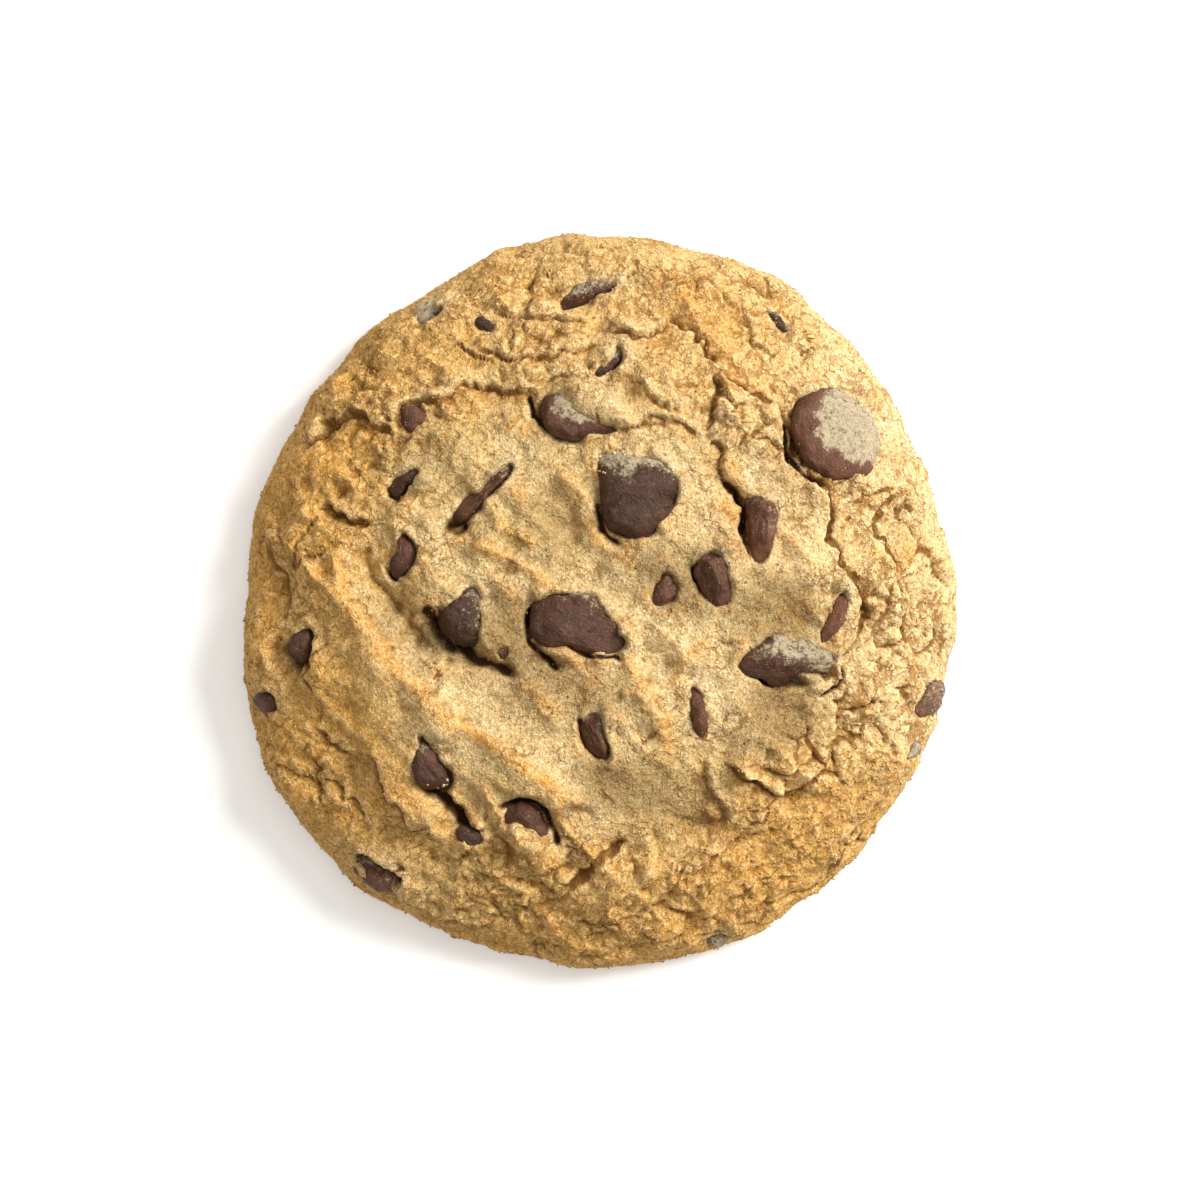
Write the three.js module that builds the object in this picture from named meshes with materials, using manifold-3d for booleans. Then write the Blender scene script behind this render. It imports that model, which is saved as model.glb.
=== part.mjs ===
// Chocolate chip cookie: one soft-baked round of dough with every chip that shows set into it.
// Millimetres, +Z up. The origin is under the middle of the cookie, on the surface it rests on.

import * as THREE from 'three';
import { mergeVertices } from 'three/addons/utils/BufferGeometryUtils.js';
import Module from 'manifold-3d';

// ---------------------------------------------------------------- driving dimensions

const DOME_HEIGHT = 15.2;        // top of the plain dome, before its lumps and folds
const RIM_HEIGHT = 2.6;          // height of the widest line of the side
const TUCK = 1.7;                // how far the side curls in below the widest line
const PLAN_POWER = 0.68;         // roundness of the dome: lower spreads its flat top wider
const HEIGHT_POWER = 1.12;       // fullness of the shoulder: lower stands it up more squarely

// Distance from the middle to the rim, every 15 degrees, anticlockwise from +X.
const RIM_RADII = [
  40.1, 39.3, 39.7, 40.1, 41.3, 40.7, 41.2, 40.7, 39.8, 39.7, 39.5, 40.0,
  39.9, 41.0, 42.2, 42.1, 41.6, 41.1, 41.2, 41.3, 41.1, 40.9, 39.9, 40.1,
];
const RIM_RIPPLES = [
  { waves: 11, height: 0.12, turn: 0.7 },
  { waves: 17, height: 0.10, turn: 2.1 },
  { waves: 29, height: 0.07, turn: 4.0 },
];

const RINGS = 27;                // rings of the top, each with six points more than the last
const TUCK_RINGS = 3;            // rings of the curled-in underside of the rim
const BOTTOM_RINGS = [           // points of each ring of the flat bottom, and its share of the rim
  [81, 0.8], [40, 0.4], [20, 0.2], [10, 0.1], [3, 0.05],
];
const CHIP_GAP = 0.3;            // clearance between each chip and its socket
const RELIEF_FADE = [0.93, 1.0]; // relief dies away over this last part of the way to the rim

// Broad swellings and hollows: middle, half-lengths, turn in degrees, height.
const LUMPS = [
  { at: [16.6, 19.4], half: [4.2, 5.2], turn: 20, height: 1.3 },
  { at: [19.4, -17.6], half: [5.6, 3.4], turn: 8, height: 1.2 },
  { at: [7.4, 25.0], half: [5.0, 4.0], turn: -20, height: 0.7 },
  { at: [5.0, -31.4], half: [7.5, 3.2], turn: 6, height: 0.9 },
  { at: [15.0, -23.5], half: [2.6, 4.0], turn: 30, height: 0.9 },
  { at: [9.0, -22.6], half: [6.6, 3.0], turn: -26, height: -1.3 },
  { at: [0.5, 5.0], half: [9.5, 6.0], turn: -35, height: -0.9 },
  { at: [-30.0, 15.0], half: [3.8, 3.0], turn: 25, height: 1.1 },
  { at: [-32.2, 6.4], half: [3.0, 4.4], turn: 8, height: 1.1 },
  { at: [-35.0, 0.4], half: [1.8, 2.8], turn: 0, height: -1.2 },
  { at: [-14.0, 17.6], half: [7.0, 3.6], turn: 0, height: 0.5 },
  { at: [9.6, -4.4], half: [5.0, 3.2], turn: -30, height: 0.5 },
  { at: [-21.6, -26.4], half: [8.0, 4.5], turn: -35, height: 0.6 },
  { at: [33.4, 6.0], half: [3.0, 10.0], turn: -8, height: 0.6 },
  { at: [15.8, -12.8], half: [2.6, 2.2], turn: 0, height: 0.7 },
  { at: [12.6, -28.4], half: [3.0, 2.2], turn: 0, height: 0.6 },
  { at: [27.7, -15.7], half: [2.4, 3.4], turn: 20, height: 0.6 },
  { at: [22.6, -24.6], half: [3.4, 2.6], turn: 30, height: 0.5 },
  { at: [-18.9, 1.2], half: [3.4, 2.4], turn: -40, height: 0.6 },
];

// Folds: a crest line with one flank steeper than the other, or a valley where the height is
// below zero. Widths lie left and right of the line as it is walked.
const FOLDS = [
  {
    line: [[-28.9, 6.2], [-27.2, 1.0], [-25.0, -2.9], [-21.8, -7.2], [-17.4, -11.2],
      [-12.4, -14.9], [-7.4, -18.7], [-1.5, -22.0]],
    height: 2.1, left: 2.6, right: 6.5,
  },
  { line: [[-14.8, 6.6], [-11.0, 5.1], [-7.7, 3.4], [-4.4, 1.2]], height: 0.8, left: 1.3, right: 1.5 },
  { line: [[-12.6, 3.0], [-10.5, 1.4], [-7.8, -0.4]], height: 0.6, left: 1.0, right: 1.2 },
  { line: [[-3.2, 11.0], [-1.4, 8.6], [0.8, 5.8]], height: 0.6, left: 1.1, right: 1.4 },
  { line: [[2.0, -5.6], [4.6, -8.9], [6.6, -11.4]], height: 0.7, left: 1.6, right: 1.6 },
  { line: [[-4.8, -5.8], [-1.5, -8.2], [0.8, -10.6]], height: 0.6, left: 1.3, right: 1.5 },
  {
    line: [[-27.8, 8.2], [-26.0, 4.3], [-22.5, 0.6], [-17.2, -3.9], [-12.2, -8.1], [-7.0, -11.5],
      [-1.6, -13.6]],
    height: -1.1, left: 1.3, right: 2.4,
  },
];

// Creases: torn grooves in the crust. The dough stands higher along the left of each line as it
// is walked, by `rise` at the groove, and settles over `reach`.
const CREASES = [
  { line: [[-22.5, 18.2], [-21.6, 21.4], [-16.6, 22.3], [-14.0, 23.9], [-6.4, 22.8]],
    rise: 1.1, reach: 5.0, deep: 1.0, width: 1.0 },
  { line: [[-1.4, 18.2], [2.6, 19.2], [6.0, 20.6], [12.0, 18.2]],
    rise: 0.8, reach: 5.0, deep: 0.8, width: 0.8 },
  { line: [[12.0, 18.2], [13.7, 14.2], [16.3, 9.7], [17.0, 4.0]],
    rise: 0.8, reach: 3.5, deep: 1.1, width: 0.9 },
  { line: [[0.2, 30.4], [3.0, 29.6], [6.3, 29.5], [8.0, 31.8]],
    rise: 0.8, reach: 3.0, deep: 1.3, width: 0.8 },
  { line: [[13.2, 25.4], [11.6, 28.3], [7.6, 31.6]],
    rise: 0.5, reach: 4.0, deep: 1.0, width: 0.8 },
  { line: [[13.4, 25.8], [12.9, 23.0], [12.0, 18.0]],
    rise: 0.5, reach: 3.0, deep: 1.0, width: 0.8 },
  { line: [[26.6, -6.8], [29.5, -2.4], [28.5, 2.3], [25.9, 6.8], [26.0, 10.6], [22.4, 15.6],
    [20.0, 21.0], [13.0, 25.4]],
    rise: 0.6, reach: 5.0, deep: 1.2, width: 0.9 },
  { line: [[34.8, -5.0], [33.1, 2.5], [29.9, 8.5], [33.4, 12.9]],
    rise: 0.3, reach: 2.5, deep: 0.8, width: 0.9 },
  { line: [[35.8, -3.5], [32.0, -7.1], [30.0, -10.6], [31.0, -14.6]],
    rise: 0.4, reach: 3.0, deep: 0.9, width: 0.9 },
  { line: [[3.6, -26.7], [0.3, -28.6], [-4.9, -32.6]],
    rise: 0.8, reach: 4.0, deep: 1.4, width: 0.9 },
  { line: [[6.6, -29.7], [12.4, -29.0], [16.8, -26.2]],
    rise: 0.7, reach: 3.0, deep: 0.9, width: 0.8 },
  { line: [[13.4, -18.2], [16.4, -19.9], [20.6, -21.3], [24.2, -18.3]],
    rise: 1.2, reach: 3.5, deep: 0.9, width: 0.8 },
  { line: [[-31.2, 11.2], [-29.0, 9.1], [-24.6, 8.4]],
    rise: 0.9, reach: 4.0, deep: 2.1, width: 1.2 },
  { line: [[-33.4, 16.2], [-31.2, 18.0], [-27.6, 20.2], [-22.2, 18.0]],
    rise: 0.8, reach: 4.0, deep: 1.1, width: 0.9 },
  { line: [[11.0, -17.6], [11.8, -20.6], [13.9, -26.6]],
    rise: 0.9, reach: 3.0, deep: 0.5, width: 0.9 },
  { line: [[-37.9, 9.4], [-36.6, 4.4], [-34.2, -0.2], [-34.8, -3.0]],
    rise: 0.6, reach: 2.5, deep: 0.7, width: 0.9 },
  { line: [[-29.6, -28.4], [-25.6, -31.8], [-18.9, -35.0], [-12.6, -37.6]],
    rise: 0.5, reach: 3.0, deep: 0.6, width: 0.8 },
  { line: [[25.2, -32.0], [27.2, -27.6], [31.5, -22.3], [34.4, -18.2]],
    rise: 0.5, reach: 3.0, deep: 0.6, width: 0.8 },
  { line: [[-12.6, 32.0], [-7.7, 31.5], [-0.4, 31.3]],
    rise: 0.5, reach: 2.0, deep: 0.8, width: 0.8 },
  { line: [[-14.6, 28.2], [-11.0, 27.2], [-6.0, 26.7], [0.2, 28.2]],
    rise: 0.5, reach: 2.0, deep: 0.8, width: 0.8 },
  { line: [[2.6, 24.8], [6.4, 21.9], [10.0, 20.8]],
    rise: 0.6, reach: 2.5, deep: 0.6, width: 0.8 },
  { line: [[-25.6, -15.9], [-23.6, -21.0], [-21.0, -26.2]],
    rise: 0.5, reach: 2.5, deep: 0.7, width: 0.8 },
];
const CREASE_FADE = 2.2;         // each line runs out over this much of its two ends
const CREASE_SPREAD = 0.6;       // and over this much more for each millimetre beside it
const CREASE_SOFTNESS = 0.28;    // how sharply the high side of a crease breaks off
const CURVE_STEPS = 5;           // straight pieces between the points of a line
const BELL_POWER = 1.5;          // above 1 swellings and pits get rounder tops and steeper flanks
const SLOPE_STEP = 0.01;         // half the turn, in radians, over which the dome's slope is taken
const SECTION_SAMPLES = 600;     // pieces the section is measured in when rings are spaced

// Pits: the empty part of a chip's socket, or the trail of a chip that slid. Same form as LUMPS.
const PITS = [
  { at: [-18.3, -4.6], half: [4.6, 1.5], turn: -34, height: -2.0 },
  { at: [21.2, 17.8], half: [4.4, 1.2], turn: 104, height: -1.4 },
  { at: [16.3, 8.4], half: [4.2, 0.9], turn: 96, height: -1.4 },
  { at: [-34.4, -6.8], half: [2.6, 1.3], turn: -64, height: -1.6 },
  { at: [-16.9, -23.6], half: [3.6, 1.5], turn: -55, height: -1.6 },
  { at: [-7.4, -23.6], half: [2.8, 1.4], turn: -32, height: -1.6 },
  { at: [-4.6, 19.6], half: [3.8, 1.3], turn: -40, height: -1.2 },
  { at: [-5.6, -3.2], half: [4.0, 1.3], turn: -50, height: -1.2 },
  { at: [2.6, 9.4], half: [3.4, 1.4], turn: -50, height: -1.0 },
  { at: [-16.0, 8.6], half: [1.4, 1.2], turn: 0, height: -1.6 },
  { at: [13.6, -38.6], half: [1.6, 1.1], turn: 15, height: -0.9 },
];

// Chips, each a flattened drop: middle in plan, half-length, half-width, half-thickness, turn of
// its length in degrees, how far its far end lifts and its left side lifts in degrees, depth of
// its middle below the crust, and how much its far end narrows.
const CHIPS = [
  { at: [-1.7, 34.6], half: [3.7, 1.1, 2.2], turn: 22, pitch: 0, roll: 12, sink: 1.3, taper: 0.2 },
  { at: [-12.9, 30.6], half: [1.5, 0.9, 1.3], turn: -22, pitch: 0, roll: 0, sink: 0.5, taper: 0.2 },
  { at: [1.3, 26.5], half: [2.7, 1.1, 1.9], turn: 54, pitch: 0, roll: -10, sink: 1.2, taper: 0.3 },
  { at: [-2.6, 20.7], half: [4.6, 3.0, 2.0], turn: -30, pitch: 0, roll: -16, sink: 0.5, taper: 0.1 },
  { at: [-20.8, 20.2], half: [1.6, 1.4, 1.6], turn: 80, pitch: 0, roll: 0, sink: 0.4, taper: 0.2 },
  { at: [-21.6, 13.3], half: [2.5, 1.3, 1.7], turn: 34, pitch: 0, roll: 0, sink: 0.8, taper: 0.2 },
  { at: [-13.3, 11.6], half: [4.8, 1.2, 2.6], turn: 45, pitch: 0, roll: 10, sink: 1.4, taper: 0.3 },
  { at: [-21.7, 5.3], half: [2.8, 1.5, 2.0], turn: 64, pitch: 0, roll: 8, sink: 1.0, taper: 0.2 },
  { at: [4.4, 11.7], half: [5.2, 4.3, 3.4], turn: 129, pitch: -6, roll: 8, sink: 1.4, taper: 0.6 },
  { at: [26.8, 18.4], half: [5.4, 4.5, 2.2], turn: -62, pitch: 0, roll: -12, sink: 0.8, taper: 0.0 },
  { at: [18.1, 8.5], half: [3.7, 1.7, 2.6], turn: 94, pitch: 0, roll: 12, sink: 1.2, taper: 0.2 },
  { at: [12.6, 2.6], half: [3.5, 2.2, 2.4], turn: -58, pitch: 0, roll: 0, sink: 1.0, taper: 0.2 },
  { at: [7.3, 1.1], half: [1.9, 1.5, 1.8], turn: 100, pitch: 0, roll: 0, sink: 0.8, taper: 0.2 },
  { at: [-2.3, -2.6], half: [5.5, 3.5, 2.8], turn: -20, pitch: 0, roll: 6, sink: 1.2, taper: 0.6 },
  { at: [-14.8, -2.0], half: [4.2, 3.5, 2.8], turn: 70, pitch: 0, roll: 8, sink: 1.1, taper: 0.7 },
  { at: [-0.4, -14.8], half: [3.1, 1.8, 2.2], turn: -62, pitch: 0, roll: 0, sink: 1.4, taper: 0.2 },
  { at: [11.0, -12.5], half: [3.2, 1.1, 2.0], turn: -76, pitch: 0, roll: 8, sink: 1.2, taper: 0.2 },
  { at: [21.3, -7.0], half: [5.4, 2.1, 2.8], turn: -12, pitch: 0, roll: 10, sink: 1.0, taper: 0.1 },
  { at: [26.3, -2.0], half: [3.2, 1.1, 2.0], turn: 68, pitch: 0, roll: 8, sink: 0.9, taper: 0.2 },
  { at: [37.2, -11.5], half: [2.7, 1.3, 1.5], turn: 62, pitch: 0, roll: 0, sink: 0.5, taper: 0.1 },
  { at: [-33.0, -5.0], half: [2.5, 1.5, 1.9], turn: 78, pitch: 0, roll: 0, sink: 0.8, taper: 0.3 },
  { at: [-37.5, -11.5], half: [1.7, 1.1, 1.3], turn: -60, pitch: 0, roll: 0, sink: 0.4, taper: 0.1 },
  { at: [-18.9, -18.4], half: [3.4, 2.0, 2.2], turn: -66, pitch: 0, roll: 0, sink: 0.9, taper: 0.1 },
  { at: [-7.9, -24.9], half: [3.0, 1.9, 2.0], turn: -34, pitch: 0, roll: -8, sink: 1.3, taper: 0.1 },
  { at: [-25.2, -31.0], half: [3.5, 1.5, 1.6], turn: -36, pitch: 0, roll: 0, sink: 0.8, taper: 0.2 },
  { at: [19.9, 31.4], half: [1.5, 0.7, 1.2], turn: -42, pitch: 0, roll: 0, sink: 0.4, taper: 0.2 },
  { at: [-19.4, 32.4], half: [2.1, 1.1, 1.3], turn: 33, pitch: 0, roll: 0, sink: 0.6, taper: 0.1 },
  { at: [-14.6, -26.3], half: [1.6, 1.0, 1.2], turn: -32, pitch: 0, roll: 0, sink: 0.6, taper: 0.1 },
  { at: [-10.9, -5.5], half: [1.3, 1.0, 1.3], turn: -55, pitch: 0, roll: 0, sink: 0.4, taper: 0.2 },
  { at: [13.3, -38.4], half: [1.4, 0.9, 1.2], turn: 15, pitch: 0, roll: 0, sink: 0.4, taper: 0.1 },
  { at: [35.6, -17.2], half: [1.5, 0.8, 1.1], turn: 60, pitch: 0, roll: 0, sink: 0.4, taper: 0.1 },
];
const CHIP_SQUARENESS = 0.82;    // below 1 the chips' faces flatten and their edges fill out
const NARROW_POWER = 1.6;        // above 1 the narrowing gathers towards the far end
const CHIP_LARGE = 3.0;          // chips at least this half-length get the finer facets
const CHIP_FACETS = { large: [11, 6], small: [8, 5] };

// ---------------------------------------------------------------- plain geometry

const mix = (a, b, t) => a + (b - a) * t;
const clamp01 = (t) => Math.min(1, Math.max(0, t));
const smooth = (t) => clamp01(t) ** 2 * (3 - 2 * clamp01(t));

// Rim radius at an angle: a cubic through the four nearest radii, plus fine ripples.
function rimRadius(angle) {
  const count = RIM_RADII.length;
  const place = (THREE.MathUtils.euclideanModulo(angle, 2 * Math.PI) / (2 * Math.PI)) * count;
  const first = Math.floor(place);
  const t = place - first;
  const [p0, p1, p2, p3] = [-1, 0, 1, 2].map((k) => RIM_RADII[(first + k + count) % count]);
  const bend = (2 * p0 - 5 * p1 + 4 * p2 - p3) * t * t + (3 * p1 - p0 - 3 * p2 + p3) * t ** 3;
  const radius = p1 + 0.5 * ((p2 - p0) * t + bend);
  const ripple = ({ waves, height, turn }) => height * Math.sin(waves * angle + turn);
  return radius + RIM_RIPPLES.reduce((sum, wave) => sum + ripple(wave), 0);
}

// The dome's half-section: share of the rim radius and height, for a quarter turn from top to rim.
function domeSection(turn) {
  const out = Math.sin(turn) ** PLAN_POWER;
  const up = RIM_HEIGHT + (DOME_HEIGHT - RIM_HEIGHT) * Math.max(0, Math.cos(turn)) ** HEIGHT_POWER;
  return { out, up };
}

// Dome point and outward normal under a plan position given as a share of the rim radius.
function domeFrame(out, angle) {
  const turn = Math.asin(clamp01(out) ** (1 / PLAN_POWER));
  const before = domeSection(Math.max(0, turn - SLOPE_STEP));
  const after = domeSection(Math.min(Math.PI / 2, turn + SLOPE_STEP));
  const radius = rimRadius(angle);
  const along = new THREE.Vector2((after.out - before.out) * radius, after.up - before.up).normalize();
  const normal = new THREE.Vector3(-along.y * Math.cos(angle), -along.y * Math.sin(angle), along.x);
  const point = new THREE.Vector3(
    out * radius * Math.cos(angle), out * radius * Math.sin(angle), domeSection(turn).up);
  return { point, normal };
}

// Shares of the rim radius that space the rings evenly along the section.
function ringShares(count) {
  const lengths = [0];
  const outs = [0];
  const meanRadius = RIM_RADII.reduce((sum, r) => sum + r, 0) / RIM_RADII.length;
  for (let i = 1; i <= SECTION_SAMPLES; i += 1) {
    const a = domeSection(((i - 1) / SECTION_SAMPLES) * (Math.PI / 2));
    const b = domeSection((i / SECTION_SAMPLES) * (Math.PI / 2));
    lengths.push(lengths[i - 1] + Math.hypot((b.out - a.out) * meanRadius, b.up - a.up));
    outs.push(b.out);
  }
  const shares = [];
  for (let ring = 0; ring <= count; ring += 1) {
    const target = (ring / count) * lengths[SECTION_SAMPLES];
    const k = Math.max(1, lengths.findIndex((length) => length >= target));
    const t = (target - lengths[k - 1]) / (lengths[k] - lengths[k - 1]);
    shares.push(ring === count ? 1 : mix(outs[k - 1], outs[k], t));
  }
  return shares;
}

// ---------------------------------------------------------------- relief of the crust

// A swelling or pit: a bell over an ellipse.
function bell(x, y, { at, half, turn, height }) {
  const c = Math.cos(THREE.MathUtils.degToRad(turn));
  const s = Math.sin(THREE.MathUtils.degToRad(turn));
  const along = ((x - at[0]) * c + (y - at[1]) * s) / half[0];
  const across = ((y - at[1]) * c - (x - at[0]) * s) / half[1];
  return height * Math.exp(-((along * along + across * across) ** BELL_POWER));
}

// A smooth curve through a line's points, as short straight pieces.
function curvePieces(line) {
  const curve = new THREE.SplineCurve(line.map(([x, y]) => new THREE.Vector2(x, y)));
  return curve.getPoints((line.length - 1) * CURVE_STEPS);
}

// Nearest place on a curve: signed distance, positive on its left, and how far from its ends.
function nearestOnCurve(x, y, points) {
  let best = { distance: Infinity, signed: 0, along: 0 };
  let walked = 0;
  for (let i = 1; i < points.length; i += 1) {
    const dx = points[i].x - points[i - 1].x;
    const dy = points[i].y - points[i - 1].y;
    const length = Math.hypot(dx, dy);
    const px = x - points[i - 1].x;
    const py = y - points[i - 1].y;
    const t = clamp01((px * dx + py * dy) / (length * length));
    const distance = Math.hypot(px - t * dx, py - t * dy);
    if (distance < best.distance) {
      const side = Math.sign(dx * py - dy * px) || 1;
      best = { distance, signed: side * distance, along: walked + t * length };
    }
    walked += length;
  }
  const ends = Math.min(best.along, walked - best.along);
  return { ...best, ends };
}

// How much of a line is left: all of it along its middle, none at its ends, sooner beside it.
const lineFade = ({ ends, distance }) => smooth(ends / (CREASE_FADE + CREASE_SPREAD * distance));

// A fold: a rounded crest with its own width on each side.
function foldHeight(x, y, fold) {
  const near = nearestOnCurve(x, y, fold.curve);
  const width = near.signed > 0 ? fold.left : fold.right;
  return fold.height * lineFade(near) * Math.exp(-((near.distance / width) ** 2));
}

// A crease: a groove, with the dough on its left standing higher and settling away from it.
function creaseHeight(x, y, crease) {
  const near = nearestOnCurve(x, y, crease.curve);
  const highSide = 1 / (1 + Math.exp(-near.signed / CREASE_SOFTNESS));
  const bank = crease.rise * highSide * Math.exp(-near.distance / crease.reach);
  const groove = crease.deep * Math.exp(-((near.distance / crease.width) ** 2));
  return lineFade(near) * (bank - groove);
}

const folds = FOLDS.map((fold) => ({ ...fold, curve: curvePieces(fold.line) }));
const creases = CREASES.map((crease) => ({ ...crease, curve: curvePieces(crease.line) }));

function crustRelief(x, y) {
  let height = 0;
  for (const lump of LUMPS) height += bell(x, y, lump);
  for (const fold of folds) height += foldHeight(x, y, fold);
  for (const crease of creases) height += creaseHeight(x, y, crease);
  return height;
}

const pitRelief = (x, y) => PITS.reduce((sum, pit) => sum + bell(x, y, pit), 0);

// ---------------------------------------------------------------- dough

// How much of the relief is left at a share of the rim radius.
const reliefFade = (share) => 1 - smooth((share - RELIEF_FADE[0]) / (RELIEF_FADE[1] - RELIEF_FADE[0]));

// A point of the crust: the dome pushed out along its normal by the relief.
function crustPoint(share, angle) {
  const { point, normal } = domeFrame(share, angle);
  const relief = crustRelief(point.x, point.y) + pitRelief(point.x, point.y);
  return point.addScaledVector(normal, reliefFade(share) * relief);
}

// Triangles between two rings that both start at angle 0 and may differ in their counts.
function stitch(indices, inner, innerCount, outer, outerCount) {
  let i = 0;
  let j = 0;
  while (i < innerCount || j < outerCount) {
    const stepOuter = j < outerCount && (i >= innerCount || (j + 0.5) / outerCount <= (i + 0.5) / innerCount);
    const a = inner + (i % innerCount);
    const b = outer + (j % outerCount);
    if (stepOuter) {
      indices.push(a, b, outer + ((j + 1) % outerCount));
      j += 1;
    } else {
      indices.push(a, b, inner + ((i + 1) % innerCount));
      i += 1;
    }
  }
}

function doughGeometry() {
  const points = [crustPoint(0, 0)];
  const rings = [];
  const addRing = (count, pointAt) => {
    rings.push({ start: points.length, count });
    for (let k = 0; k < count; k += 1) points.push(pointAt((k / count) * 2 * Math.PI));
  };
  ringShares(RINGS).slice(1).forEach((share, index) => {
    addRing(6 * (index + 1), (angle) => crustPoint(share, angle));
  });
  for (let k = 1; k <= TUCK_RINGS; k += 1) {
    const turn = (k / TUCK_RINGS) * (Math.PI / 2);
    addRing(6 * RINGS, (angle) => {
      const radius = rimRadius(angle) - TUCK * (1 - Math.cos(turn));
      return new THREE.Vector3(
        radius * Math.cos(angle), radius * Math.sin(angle), RIM_HEIGHT * (1 - Math.sin(turn)));
    });
  }
  for (const [count, share] of BOTTOM_RINGS) {
    addRing(count, (angle) => {
      const radius = (rimRadius(angle) - TUCK) * share;
      return new THREE.Vector3(radius * Math.cos(angle), radius * Math.sin(angle), 0);
    });
  }

  const indices = [];
  for (let k = 0; k < 6; k += 1) indices.push(0, 1 + k, 1 + ((k + 1) % 6));
  for (let r = 1; r < rings.length; r += 1) {
    stitch(indices, rings[r - 1].start, rings[r - 1].count, rings[r].start, rings[r].count);
  }
  const last = rings.at(-1).start;
  indices.push(last, last + 2, last + 1);
  return meshFrom(points, indices);
}

function meshFrom(points, indices) {
  const geometry = new THREE.BufferGeometry().setFromPoints(points);
  geometry.setIndex(indices);
  return geometry;
}

// ---------------------------------------------------------------- chips

// Where a chip sits: on the crust at its plan position, its thickness along the crust's normal.
function chipPlacement(chip) {
  const [x, y] = chip.at;
  const angle = Math.atan2(y, x);
  const share = Math.hypot(x, y) / rimRadius(angle);
  const { point, normal } = domeFrame(share, angle);
  const centre = point.addScaledVector(normal, reliefFade(share) * crustRelief(x, y) - chip.sink);
  const turn = THREE.MathUtils.degToRad(chip.turn);
  const length = new THREE.Vector3(Math.cos(turn), Math.sin(turn), 0);
  length.addScaledVector(normal, -length.dot(normal)).normalize();
  const width = new THREE.Vector3().crossVectors(normal, length);
  const placement = new THREE.Matrix4().makeBasis(length, width, normal).setPosition(centre);
  const lift = new THREE.Euler(
    THREE.MathUtils.degToRad(chip.roll), THREE.MathUtils.degToRad(-chip.pitch), 0);
  return placement.multiply(new THREE.Matrix4().makeRotationFromEuler(lift));
}

// A flattened drop: a rounded-square ball that narrows towards its far end, grown by a margin.
function chipGeometry(chip, margin = 0) {
  const [around, down] = chip.half[0] >= CHIP_LARGE ? CHIP_FACETS.large : CHIP_FACETS.small;
  const geometry = new THREE.SphereGeometry(1, around, down);
  const position = geometry.getAttribute('position');
  const square = (v) => Math.sign(v) * Math.abs(v) ** CHIP_SQUARENESS;
  const point = new THREE.Vector3();
  for (let i = 0; i < position.count; i += 1) {
    point.fromBufferAttribute(position, i);
    // The ball's poles lie along the chip's length, so that its drop end is smooth.
    const [along, across, up] = [point.y, point.z, point.x];
    const narrow = 1 - chip.taper * clamp01((along + 1) / 2) ** NARROW_POWER;
    position.setXYZ(
      i,
      (chip.half[0] + margin) * square(along),
      (chip.half[1] * narrow + margin) * across,
      (chip.half[2] * narrow + margin) * up,
    );
  }
  geometry.deleteAttribute('normal');
  geometry.deleteAttribute('uv');
  return mergeVertices(geometry);
}

// ---------------------------------------------------------------- cutting the sockets

const wasm = await Module();
wasm.setup();

function toSolid(geometry) {
  return new wasm.Manifold(new wasm.Mesh({
    numProp: 3,
    vertProperties: new Float32Array(geometry.getAttribute('position').array),
    triVerts: new Uint32Array(geometry.getIndex().array),
  }));
}

function fromSolid(solid) {
  const mesh = solid.getMesh();
  const geometry = new THREE.BufferGeometry();
  geometry.setAttribute('position', new THREE.BufferAttribute(mesh.vertProperties, 3));
  geometry.setIndex(new THREE.BufferAttribute(mesh.triVerts, 1));
  return geometry;
}

function cutSockets(dough) {
  let solid = toSolid(dough);
  for (const chip of CHIPS) {
    const socket = chipGeometry(chip, CHIP_GAP).applyMatrix4(chipPlacement(chip));
    solid = solid.subtract(toSolid(socket));
  }
  return fromSolid(solid);
}

// ---------------------------------------------------------------- materials and assembly

const crustMaterial = () => new THREE.MeshStandardMaterial({ color: 0xd3a566, roughness: 0.9, metalness: 0 });
const chocolateMaterial = () => new THREE.MeshStandardMaterial({ color: 0x573d31, roughness: 0.45, metalness: 0 });

function doughMesh() {
  const mesh = new THREE.Mesh(cutSockets(doughGeometry()), crustMaterial());
  mesh.name = 'dough';
  return mesh;
}

function chipMesh(chip, index) {
  const mesh = new THREE.Mesh(chipGeometry(chip), chocolateMaterial());
  mesh.name = `chip_${String(index + 1).padStart(2, '0')}`;
  mesh.applyMatrix4(chipPlacement(chip));
  return mesh;
}

const cookie = new THREE.Group();
cookie.add(doughMesh());
CHIPS.forEach((chip, index) => cookie.add(chipMesh(chip, index)));

export default cookie;
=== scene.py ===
"""A chocolate chip cookie, finished: the chips, the dough baked round them and its loose crumbs.

Shapes are worked out in millimetres and put into meshes in metres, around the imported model.
"""

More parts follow.
